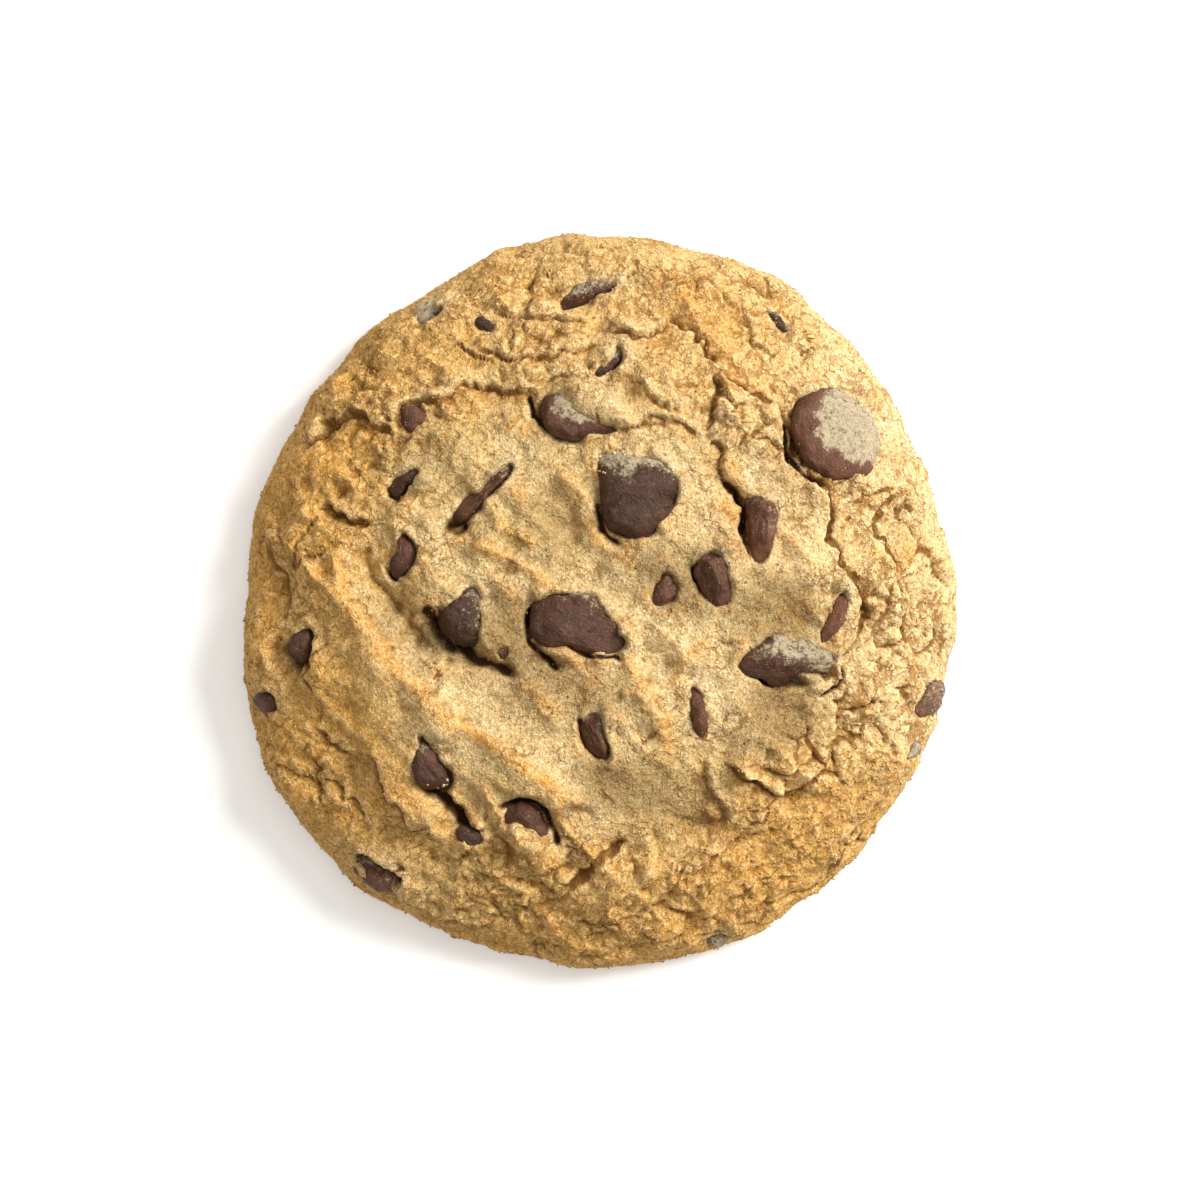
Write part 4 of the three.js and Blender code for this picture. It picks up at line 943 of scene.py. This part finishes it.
def halving(outer, inner, count):
    """Three triangles a step from a ring to one of half its count, facing down."""
    k = np.arange(count // 2)
    n = (k + 1) % (count // 2)
    a, b, c = outer + 2 * k, outer + 2 * k + 1, outer + (2 * k + 2) % count
    corners = ((b, a, inner + k), (inner + n, b, inner + k), (c, b, inner + n))
    return np.vstack([np.stack(three, -1) for three in corners])


def ring_angles(count):
    """Evenly spaced angles round one ring."""
    return np.arange(count) / count * 2 * np.pi


def dough_surface():
    """The whole round: domed top in rings, tucked rim, and flat underside, as one closed skin."""
    shares = ring_shares(TOP_RINGS)
    share = np.concatenate([[0.0]] + [np.full(6 * k, shares[k]) for k in range(1, TOP_RINGS + 1)])
    angle = np.concatenate([[0.0]] + [ring_angles(6 * k) for k in range(1, TOP_RINGS + 1)])
    base, normal = dome_frame(share, angle)
    rim = 6 * TOP_RINGS
    turn = np.repeat(np.arange(1, TUCK_RINGS + 1) / TUCK_RINGS * np.pi / 2, rim)
    tuck_angle = np.tile(ring_angles(rim), TUCK_RINGS)
    radius = rim_radius(tuck_angle) - TUCK * (1 - np.cos(turn))
    c, s = np.cos(tuck_angle), np.sin(tuck_angle)
    base = np.vstack([base, np.stack([radius * c, radius * s, RIM_HEIGHT * (1 - np.sin(turn))], -1)])
    normal = np.vstack([normal, np.stack([np.cos(turn) * c, np.cos(turn) * s, -np.sin(turn)], -1)])
    faces = [fan_rings(TOP_RINGS, 0)]
    start = 1 + 3 * TOP_RINGS * (TOP_RINGS - 1)
    for ring in range(TUCK_RINGS):
        faces.append(band(start + ring * rim, start + (ring + 1) * rim, rim))
    side_count = len(base)
    lowest = side_count - rim
    count = rim
    flat_share = 1.0
    for _ in range(2):
        flat_share -= UNDER_STEP
        faces.append(halving(lowest, len(base), count))
        count //= 2
        lowest = len(base)
        under = ring_angles(count)
        reach = (rim_radius(under) - TUCK) * flat_share
        base = np.vstack([base, np.stack([reach * np.cos(under), reach * np.sin(under), 0 * under], -1)])
    rings = count // 6
    inner_first = len(base)
    share_b = np.concatenate([[0.0]] + [np.full(6 * k, k / rings) for k in range(1, rings)])
    angle_b = np.concatenate([[0.0]] + [ring_angles(6 * k) for k in range(1, rings)])
    reach = (rim_radius(angle_b) - TUCK) * flat_share * share_b
    base = np.vstack([base, np.stack([reach * np.cos(angle_b), reach * np.sin(angle_b), 0 * reach], -1)])
    under_faces = fan_rings(rings, 0)
    own_ring = 1 + 3 * rings * (rings - 1)
    index = np.where(under_faces >= own_ring, under_faces - own_ring + lowest, under_faces + inner_first)
    faces.append(index[:, ::-1])
    return base, normal, side_count, np.vstack(faces)


base, outward, side_count, dough_faces = dough_surface()
skin = base[:side_count]
angle = np.arctan2(skin[:, 1], skin[:, 0])
share = np.hypot(skin[:, 0], skin[:, 1]) / rim_radius(angle)
form, fine, rough, cut, side_shade_and_highlight, toasted, melt = crust_relief(skin, share, angle)
fade = 1 - smooth((share - RELIEF_FADE[0]) / (RELIEF_FADE[1] - RELIEF_FADE[0]))
side_fade = SIDE_RELIEF + (1 - SIDE_RELIEF) * fade
relief = (form * fade + fine * side_fade) * smooth(skin[:, 2] / FOOT_HEIGHT)
lifted = skin + outward * relief[:, None]
change, gap, nearness = round_chips(lifted, share)
lifted += outward * change[:, None]
swell = np.concatenate([relief + change, np.zeros(len(base) - side_count)])
dough_points = np.vstack([lifted, base[side_count:]])
dough_points[:, 2] = np.maximum(dough_points[:, 2], 0)
over_top = np.maximum(0, dough_points[:, 2] - (HIGHEST - 1.0))
dough_points[:, 2] -= over_top - np.tanh(over_top)
lifted[:, 2] = dough_points[:side_count, 2]
narrow_hollow = (spread(swell, dough_faces, 5) - swell)[:side_count]
broad_hollow = (spread(swell, dough_faces, 50) - swell)[:side_count]

# Tones of the crust, as light reflected: soft pale dough, baked crust, toasted crests, the browner foot,
# dough greyed or dusted by the chips, and painted shade for hollows, cracks and gaps.
SOFT = np.array([0.69, 0.56, 0.305])
PALE = np.array([0.96, 0.79, 0.485])
BAKED = np.array([0.76, 0.48, 0.155])
TOASTED = np.array([0.82, 0.43, 0.10])
GOLDEN = np.array([0.98, 0.53, 0.14])
HOLLOW_SHADE = np.array([0.32, 0.155, 0.03])
FOOT = np.array([0.50, 0.26, 0.075])
GREYED_AND_SHADED = np.array([0.42, 0.31, 0.155])
DUSTY = np.array([0.80, 0.68, 0.45])
GAP_SHADE = np.array([0.035, 0.016, 0.008])
PATCHES = [(0.6, 8.0, 61), (0.5, 3.4, 62), (0.2, 1.4, 63)]     # height, size, seed of the hills
FLECKS = [(0.6, 2.4, 66), (0.5, 1.1, 67)]
PAINTED_LIGHT_SIDE = 10                  # the side of the round painted paler as if lit by the lamp, the far side browner as painted shade; in degrees
# Where the dough is greyed by chocolate, and where it is darkened as painted shade on deep hollows and on
# slopes away from the lamp: middle, half-lengths, turn, amount.
STAINS_AND_SHADE = [
    ((8.5, -22.0), (7.0, 4.0), -26, 0.75),
    ((-3.0, 21.5), (5.0, 2.6), -30, 0.5),
    ((-19.4, 15.5), (3.4, 3.4), 0, 0.45),
    ((24.5, -4.5), (4.0, 3.6), 0, 0.35),
    ((20.5, 11.0), (3.0, 4.0), 0, 0.3),
    ((-11.0, 13.0), (4.0, 2.4), 45, 0.35),
    ((-14.0, -7.6), (7.0, 2.2), -38, 0.3),
    ((8.0, 3.5), (8.0, 4.0), 0, 0.4),
    ((-5.0, -8.5), (5.0, 3.6), -30, 0.6),
    ((19.5, -1.0), (5.0, 4.5), 0, 1.0),
    ((20.5, -12.5), (5.0, 3.4), -20, 1.1),
    ((17.5, -15.8), (4.0, 2.2), 15, 0.6),
    ((30.0, -23.4), (4.0, 4.0), 40, 0.3),
    ((-27.0, -19.0), (3.4, 3.6), -45, 0.35),
    ((0.5, -11.0), (4.0, 3.5), 0, 0.5),
    ((1.5, -20.5), (5.5, 3.0), -30, 0.8),
    ((-9.5, -3.5), (4.5, 4.5), 0, 0.9),
    ((-5.5, 8.5), (4.2, 4.2), 0, 1.0),
    ((10.0, 1.0), (4.5, 3.5), 0, 0.65),
    ((-21.5, -4.0), (2.4, 5.0), 35, 0.4),
    ((-20.0, 1.5), (3.5, 3.5), 0, 0.4),
    ((-9.0, -13.5), (5.0, 2.6), -35, 0.3),
]
# Where the crust browned more, or less than elsewhere, and painted light: places darkened as painted shade on
# slopes away from the lamp and paled on slopes towards it; middle, half-lengths, turn, amount.
BROWNING_AND_PAINTED_LIGHT = [
    ((-26.0, 26.0), (14.0, 7.0), 45, 0.42),
    ((-37.0, 4.0), (4.5, 16.0), 0, 0.2),
    ((-4.0, -38.0), (22.0, 5.0), 4, 0.2),
    ((20.0, -31.0), (14.0, 7.0), 40, 0.5),
    ((16.0, -22.0), (9.0, 6.0), 30, 0.3),
    ((10.0, 27.0), (13.0, 7.0), -20, 0.25),
    ((-30.0, 15.0), (4.0, 4.0), 0, 0.4),
    ((-16.0, -33.0), (9.0, 4.0), -25, -0.3),
    ((28.0, 8.0), (9.0, 18.0), 0, -0.5),
    ((8.5, -7.5), (6.5, 4.5), -35, -0.6),
    ((-8.0, -14.5), (9.0, 3.2), -35, -0.5),
    ((-32.0, -8.0), (6.0, 12.0), 20, 0.35),
    ((-27.0, -19.0), (5.0, 6.0), -45, 0.3),
    ((-18.6, -12.4), (2.4, 2.0), -45, 0.3),
    ((33.5, -5.6), (5.5, 6.0), 0, -0.8),
    ((30.0, -23.4), (4.5, 4.0), 40, 0.5),
    ((24.8, 3.0), (4.0, 3.6), 0, -1.0),
    ((13.6, -11.6), (2.7, 1.9), -20, -0.9),
    ((13.0, 31.5), (5.0, 3.4), 0, 0.25),
    ((-22.2, 28.2), (4.5, 3.5), 0, -0.5),
]


def blend(tone, other, amount):
    """Move a tone towards another by an amount for each point."""
    return tone + (other - tone) * np.clip(amount, 0, 1)[:, None]


def crust_tones(p, angle, share, rough, side_shade_and_highlight, toasted, nearness, gap, narrow_hollow, broad_hollow):
    """Tone of each point, from its hollows and crests, its place and nearby chips; painted shade in hollows,
    cracks and gaps, and painted highlights on bumps and on slopes towards the lamp.
    """
    patch = layered_hills(p, PATCHES)
    outer = smooth((share - 0.45) / 0.4)
    painted_light_side = np.cos(angle - np.radians(PAINTED_LIGHT_SIDE))
    browning_and_light = np.zeros(len(p))
    for at, half, turn, amount in BROWNING_AND_PAINTED_LIGHT:
        browning_and_light += bell(p[:, 0], p[:, 1], at, half, turn, amount, power=1.0)
    tone = np.repeat(SOFT[None, :], len(p), 0)
    # painted light: paler towards the lamp side, and the outer crust browner on the far side as painted shade
    tone = blend(tone, PALE, 0.32 + 0.60 * patch + 0.75 * outer * painted_light_side - 1.5 * np.minimum(0, browning_and_light))
    tone = blend(tone, BAKED, 0.70 * outer * (0.85 - 0.5 * painted_light_side) + browning_and_light)
    crest = smooth((-broad_hollow - 0.03) / 0.26) * smooth(rough / 0.36)
    flecks = layered_hills(p, FLECKS)
    tone = blend(tone, TOASTED, 0.8 * crest * (0.55 + 0.5 * patch + 0.9 * flecks) + 0.25 * browning_and_light)
    tone = blend(tone, GOLDEN, toasted)
    # painted shade on the low side of a crease, and a painted highlight on its high lip and on the lit slope
    # by a fold's crest
    tone = blend(tone, TOASTED * 0.92, 0.75 * np.maximum(0, side_shade_and_highlight))
    tone = blend(tone, PALE, 0.55 * np.maximum(0, -side_shade_and_highlight))
    # painted shade darkening the narrow and broad hollows, and a painted highlight paling small bumps
    tone = blend(tone, TOASTED * 0.8, 0.30 * smooth((narrow_hollow - 0.02) / 0.08))
    tone = blend(tone, HOLLOW_SHADE, 0.85 * smooth((narrow_hollow - 0.10) / 0.20))
    tone = blend(tone, HOLLOW_SHADE, 0.75 * smooth((broad_hollow - 0.22) / 0.7))
    tone = blend(tone, PALE * 1.06, 0.35 * smooth((-narrow_hollow - 0.02) / 0.08))
    tone = blend(tone, DUSTY, 0.9 * nearness * (0.85 + 0.5 * patch))
    # greyed by chocolate in places, and darkened in others as painted shade on hollows and slopes away from
    # the lamp
    for at, half, turn, amount in STAINS_AND_SHADE:
        stain_and_shade = bell(p[:, 0], p[:, 1], at, half, turn, amount, power=1.5)
        tone = blend(tone, GREYED_AND_SHADED, stain_and_shade * (1.0 + 0.6 * hills(p, 8.0, 61)))
    # painted shade: near black in the gaps and sockets round the chips
    tone = blend(tone, GAP_SHADE, 0.85 * smooth((gap - 0.45) / 0.8))
    low = smooth((3.4 - p[:, 2]) / 3.0)
    return blend(tone, FOOT, 0.85 * low)


tones = np.repeat(FOOT[None, :] * 0.85, len(dough_points), 0)
tones[:side_count] = crust_tones(skin, angle, share, rough, side_shade_and_highlight * fade, toasted * fade, nearness,
                                 gap, narrow_hollow, broad_hollow)
mottle = 1 + 0.05 * hills(base * np.array([1, 1, 3]), 2.0, 64) + 0.06 * hills(base, 0.7, 65)
tones *= mottle[:, None]


# Tones of the crust's finest marks, as light reflected; the pit and crack tones are painted shade, and the
# melt tones partly so.
PIT_SHADE = (0.62, 0.44, 0.22, 1)
SUGAR = (0.93, 0.78, 0.46, 1)
DARK_SPECK = (0.42, 0.22, 0.06, 1)
FINE_CRACK_SHADE = (0.46, 0.22, 0.05, 1)
DEEP_CRACK_SHADE = (0.27, 0.125, 0.028, 1)
EDGE_STAIN_AND_SHADE = (0.21, 0.10, 0.035, 1)
MELTED_CHOCOLATE_AND_SHADE = (0.050, 0.022, 0.010, 1)
GRAINS = 3600.0                  # crumb grains a metre, and finer ones
FINE_GRAINS = 8000.0
FLAKES = 520.0                   # flakes of the fine crack net, a metre


def crust_material():
    """Baked crust: packed crumb grains with painted shade in the pits between them, painted crack shade, and
    melted chocolate in hollows, partly painted shade.
    """
    material, tree, shader = new_material("baked_crust")
    place = add_node(tree, "ShaderNodeTexCoord").outputs["Object"]
    tone = painted(tree, "tone")["Color"]
    surface = add_node(tree, "ShaderNodeSeparateColor", Color=painted(tree, "surface")["Color"]).outputs
    rough, cut, melted = surface["Red"], surface["Green"], surface["Blue"]
    sand = cloud_noise(tree, place, 2300.0, 3.0, 0.75)
    wide = cloud_noise(tree, place, 420.0, 4.0, 0.65)
    patches = cloud_noise(tree, place, 260.0, 2.0, 0.5)["Fac"]
    # grains, lighter or darker at random and darker towards their edges, with painted shade in the pits
    # between them
    apart = add_node(tree, "ShaderNodeVectorMath", {"operation": "MULTIPLY_ADD"}, i0=sand["Color"],
                     i1=(0.0002, 0.0002, 0.0002), i2=place).outputs[0]
    grain = add_node(tree, "ShaderNodeTexVoronoi", Vector=apart, Scale=GRAINS, Randomness=1.0).outputs
    fine = add_node(tree, "ShaderNodeTexVoronoi", Vector=apart, Scale=FINE_GRAINS, Randomness=1.0).outputs
    pit = stretched(tree, grain["Distance"], 0.34, 0.80, 0.0, 0.38, "SMOOTHSTEP")
    pitted = mixed_tones(tree, pit, tone, PIT_SHADE, "MULTIPLY")
    level = stretched(tree, sand["Fac"], 0.34, 0.66, 0.70, 1.32)
    level = worked_out(tree, "MULTIPLY", level, stretched(tree, fine["Distance"], 0.0, 0.8, 1.14, 0.84))
    warmth = add_node(tree, "ShaderNodeMapRange", {"data_type": "FLOAT_VECTOR"}, Vector=level,
                      i7=(0.62, 0.62, 0.62), i8=(1.38, 1.38, 1.38), i9=(0.66, 0.52, 0.30),
                      i10=(1.28, 1.31, 1.34)).outputs["Vector"]
    sandy = add_node(tree, "ShaderNodeVectorMath", {"operation": "MULTIPLY"}, i0=pitted, i1=warmth)
    # some grains are sugar, and a few are dark
    pick = add_node(tree, "ShaderNodeSeparateColor", Color=grain["Color"]).outputs
    core = stretched(tree, grain["Distance"], 0.15, 0.40, 1.0, 0.0)
    sugar = worked_out(tree, "MULTIPLY", stretched(tree, pick["Red"], 0.80, 0.92, 0.0, 0.55), core)
    sugared = mixed_tones(tree, sugar, sandy.outputs[0], SUGAR)
    dark = stretched(tree, pick["Green"], 0.90, 0.98, 0.0, 0.55)
    specked = mixed_tones(tree, dark, sugared, DARK_SPECK)
    # a net of fine cracks, wider where the crust is rough, and the deep cracks of the mesh, all painted dark
    # as shade
    bent = add_node(tree, "ShaderNodeVectorMath", {"operation": "MULTIPLY_ADD"}, i0=wide["Color"],
                    i1=(0.0026, 0.0026, 0.0026), i2=place).outputs[0]
    flakes = add_node(tree, "ShaderNodeTexVoronoi", {"feature": "DISTANCE_TO_EDGE"}, Vector=bent,
                      Scale=FLAKES, Randomness=1.0).outputs["Distance"]
    opened = worked_out(tree, "MULTIPLY_ADD", rough, 0.18, -0.615)
    opened = worked_out(tree, "MULTIPLY", worked_out(tree, "ADD", opened, patches), 0.40)
    crack = worked_out(tree, "SUBTRACT", opened, flakes)
    crack = stretched(tree, crack, -0.022, 0.022, 0.0, 0.7)
    jagged = worked_out(tree, "MULTIPLY_ADD", wide["Fac"], 0.6, cut)
    torn = stretched(tree, jagged, 1.00, 1.16, 0.0, 0.85)
    split = mixed_tones(tree, torn, mixed_tones(tree, crack, specked, FINE_CRACK_SHADE), DEEP_CRACK_SHADE)
    # melted chocolate in the narrow hollows, its near black partly painted shade of the hollow, with a darker
    # edge that is partly stain and partly painted shade
    ragged = worked_out(tree, "MULTIPLY_ADD", wide["Fac"], 0.9, melted)
    melt = stretched(tree, ragged, 0.84, 1.08, 0.0, 1.0, "SMOOTHSTEP")
    edge = mixed_tones(tree, stretched(tree, ragged, 0.62, 0.86, 0.0, 0.7), split, EDGE_STAIN_AND_SHADE)
    tree.links.new(mixed_tones(tree, melt, edge, MELTED_CHOCOLATE_AND_SHADE), shader.inputs["Base Color"])
    tree.links.new(stretched(tree, melt, 0.0, 1.0, 0.80, 0.5), shader.inputs["Roughness"])
    shader.inputs["Specular IOR Level"].default_value = 0.14
    shader.inputs["Subsurface Weight"].default_value = 0.08
    shader.inputs["Subsurface Radius"].default_value = (1.0, 0.55, 0.25)
    shader.inputs["Subsurface Scale"].default_value = 0.0005
    coarse = bumped(tree, sand["Fac"], 0.9, 0.0004)
    small = bumped(tree, grain["Distance"], 0.45, 0.00016, coarse, invert=True)
    open_crack = worked_out(tree, "MAXIMUM", crack, torn)
    tree.links.new(bumped(tree, open_crack, 0.8, 0.00022, small, invert=True), shader.inputs["Normal"])
    return material


baked_crust = crust_material()
# the dough carries its roughness, a crease's painted shade, and melted chocolate with painted shade
surface = np.zeros((len(dough_points), 3))
surface[:side_count] = np.stack([rough, cut, melt], -1)
dough = mesh_object("dough_crust", dough_points, dough_faces.tolist(), baked_crust,
                    {"tone": tones, "surface": surface})
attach(dough, "root")
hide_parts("dough")


# ---------------------------------------------------------------------------------------------
# Crumbs. Grains of baked dough and sugar left on the crust and on the chips by their breaking
# away: a few tenths of a millimetre, stuck where they lie.

CRUMB_SIZE = (0.09, 0.24)        # half-size, smallest and largest
SMALL_CRUMBS = 1.8               # above 1 most crumbs are near the smallest size
CRUST_CRUMBS = 5200
CHIP_CRUMBS = (2, 2)             # on each chip, and for each millimetre from its middle to its nose
RAISED = 0.25                    # how far a crumb's middle stands clear, as a share of its half-size


def lumps_at(places, facings, sizes, draw):
    """Small eight-faced lumps, each squashed and turned at random, and partly sunk at its place."""
    corner = np.array([[1, 0, 0], [-1, 0, 0], [0, 1, 0], [0, -1, 0], [0, 0, 1], [0, 0, -1]], float)
    face = np.array([[0, 2, 4], [2, 1, 4], [1, 3, 4], [3, 0, 4], [2, 0, 5], [1, 2, 5], [3, 1, 5], [0, 3, 5]])
    count = len(places)
    turn, _ = np.linalg.qr(draw.normal(size=(count, 3, 3)))
    turn *= np.sign(np.linalg.det(turn))[:, None, None]
    squash = draw.uniform(0.6, 1.15, (count, 6, 1))
    shape = np.einsum("nij,nkj->nki", turn, corner[None] * squash) * sizes[:, None, None]
    points = shape + places[:, None, :] + RAISED * facings[:, None, :] * sizes[:, None, None]
    faces = face[None] + 6 * np.arange(count)[:, None, None]
    return points.reshape(-1, 3), faces.reshape(-1, 3).tolist()


draw = np.random.default_rng(2024)
weight = (0.25 + rough) * (skin[:, 2] > 1.5) * (gap < 0.1) * (1.2 + np.clip(fine, -0.3, 0.3) * 2)
chosen = draw.choice(len(skin), CRUST_CRUMBS, replace=False, p=weight / weight.sum())
sizes = draw.uniform(0, 1, CRUST_CRUMBS) ** SMALL_CRUMBS * (CRUMB_SIZE[1] - CRUMB_SIZE[0]) + CRUMB_SIZE[0]
crumb_points, crumb_faces = lumps_at(lifted[chosen], outward[chosen], sizes, draw)
crumb_tones = np.repeat(tones[chosen] * draw.uniform(0.85, 1.25, (CRUST_CRUMBS, 1)), 6, 0)
crumbs = mesh_object("crust_crumbs", crumb_points, crumb_faces, baked_crust, {"tone": crumb_tones})
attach(crumbs, "root")

# Chips whose nose broke out of the dough and kept golden crumbs: how many, and how far round.
CRUMBED = {"chip_09": (26, 24), "chip_12": (6, 40), "chip_23": (6, 40)}
CHIP_CRUMB_SIZE = (0.05, 0.10)
NOSE_CRUMB_SIZE = (0.15, 0.30)

spots, ways, sizes = [], [], []
for name, (skin_here, facing, film, turn) in chip_points.items():
    open_top = (facing[:, 2] > 0.3) * (0.04 + film)
    number_here = int(CHIP_CRUMBS[0] + CHIP_CRUMBS[1] * CHIPS[name][1][0])
    picked = draw.choice(len(skin_here), number_here, replace=False, p=open_top / open_top.sum())
    spots.append(skin_here[picked])
    ways.append(facing[picked])
    sizes.append(draw.uniform(*CHIP_CRUMB_SIZE, number_here))
    if name in CRUMBED:
        number_here, half_turn = CRUMBED[name]
        off_nose = np.degrees(np.abs(np.angle(np.exp(1j * (turn - np.radians(CHIPS[name][0]))))))
        near_tip = (facing[:, 2] > 0.1) * (facing[:, 2] < 0.8) * (off_nose < half_turn) + 1e-9
        picked = draw.choice(len(skin_here), number_here, replace=False, p=near_tip / near_tip.sum())
        spots.append(skin_here[picked])
        ways.append(facing[picked])
        sizes.append(draw.uniform(*NOSE_CRUMB_SIZE, number_here))
spots, ways, sizes = np.vstack(spots), np.vstack(ways), np.concatenate(sizes)
crumb_points, crumb_faces = lumps_at(spots, ways, sizes, draw)
crumb_tones = np.repeat(PALE * draw.uniform(0.75, 1.1, (len(spots), 1)), 6, 0)
chip_crumbs = mesh_object("chip_crumbs", crumb_points, crumb_faces, baked_crust, {"tone": crumb_tones})
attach(chip_crumbs, "root")


# ---------------------------------------------------------------------------------------------
# The studio: a plain pale table, a large soft lamp from the right, a broad one overhead and even
# light all round, with the camera looking straight down.

FRAME_WIDTH = 134.4              # width of the view at the height of the crust
CAMERA_HEIGHT = 620.0
SENSOR_WIDTH = 36.0
TABLE_HALF = 900.0               # half the width of the table
TABLE_DROP = 0.03                # the table lies this far under the flat bottom, clear of it

white, _, table_shader = new_material("pale_table")
table_shader.inputs["Base Color"].default_value = (0.93, 0.93, 0.93, 1)
table_shader.inputs["Roughness"].default_value = 0.9
table_shader.inputs["Emission Color"].default_value = (1, 1, 1, 1)
table_shader.inputs["Emission Strength"].default_value = 0.30
corners = np.array([[-TABLE_HALF, -TABLE_HALF], [TABLE_HALF, -TABLE_HALF],
                    [TABLE_HALF, TABLE_HALF], [-TABLE_HALF, TABLE_HALF]])
table = mesh_object("table", np.column_stack([corners, np.full(4, -TABLE_DROP)]), [[0, 1, 2, 3]], white)


def soft_lamp(name, place, size, power, colour):
    """A square lamp at a place in millimetres, turned to face the cookie."""
    lamp = bpy.data.lights.new(name, "AREA")
    lamp.size, lamp.energy, lamp.color = size * MM, power, colour
    holder = bpy.data.objects.new(name, lamp)
    holder.location = np.array(place) * MM
    direction = -np.array(place, float)
    holder.rotation_euler = (np.arctan2(np.hypot(direction[0], direction[1]), -direction[2]), 0,
                             np.arctan2(direction[1], direction[0]) - np.pi / 2)
    bpy.context.collection.objects.link(holder)


soft_lamp("window_lamp", (520, 290, 510), 340, 8.05, (1.0, 0.985, 0.95))
soft_lamp("overhead_lamp", (60, 160, 800), 700, 1.9, (1.0, 0.985, 0.96))

world = bpy.data.worlds.new("studio")
world.use_nodes = True
world.node_tree.nodes["Background"].inputs["Color"].default_value = (1.0, 0.94, 0.84, 1)
world.node_tree.nodes["Background"].inputs["Strength"].default_value = 0.29
bpy.context.scene.world = world
bpy.context.scene.view_settings.view_transform = "Standard"

camera_data = bpy.data.cameras.new("camera")
camera_data.sensor_width = SENSOR_WIDTH
camera_data.lens = SENSOR_WIDTH * (CAMERA_HEIGHT - 0.5 * DOME_HEIGHT) / FRAME_WIDTH
camera = bpy.data.objects.new("camera", camera_data)
camera.location = (0, 0, CAMERA_HEIGHT * MM)
bpy.context.collection.objects.link(camera)
bpy.context.scene.camera = camera
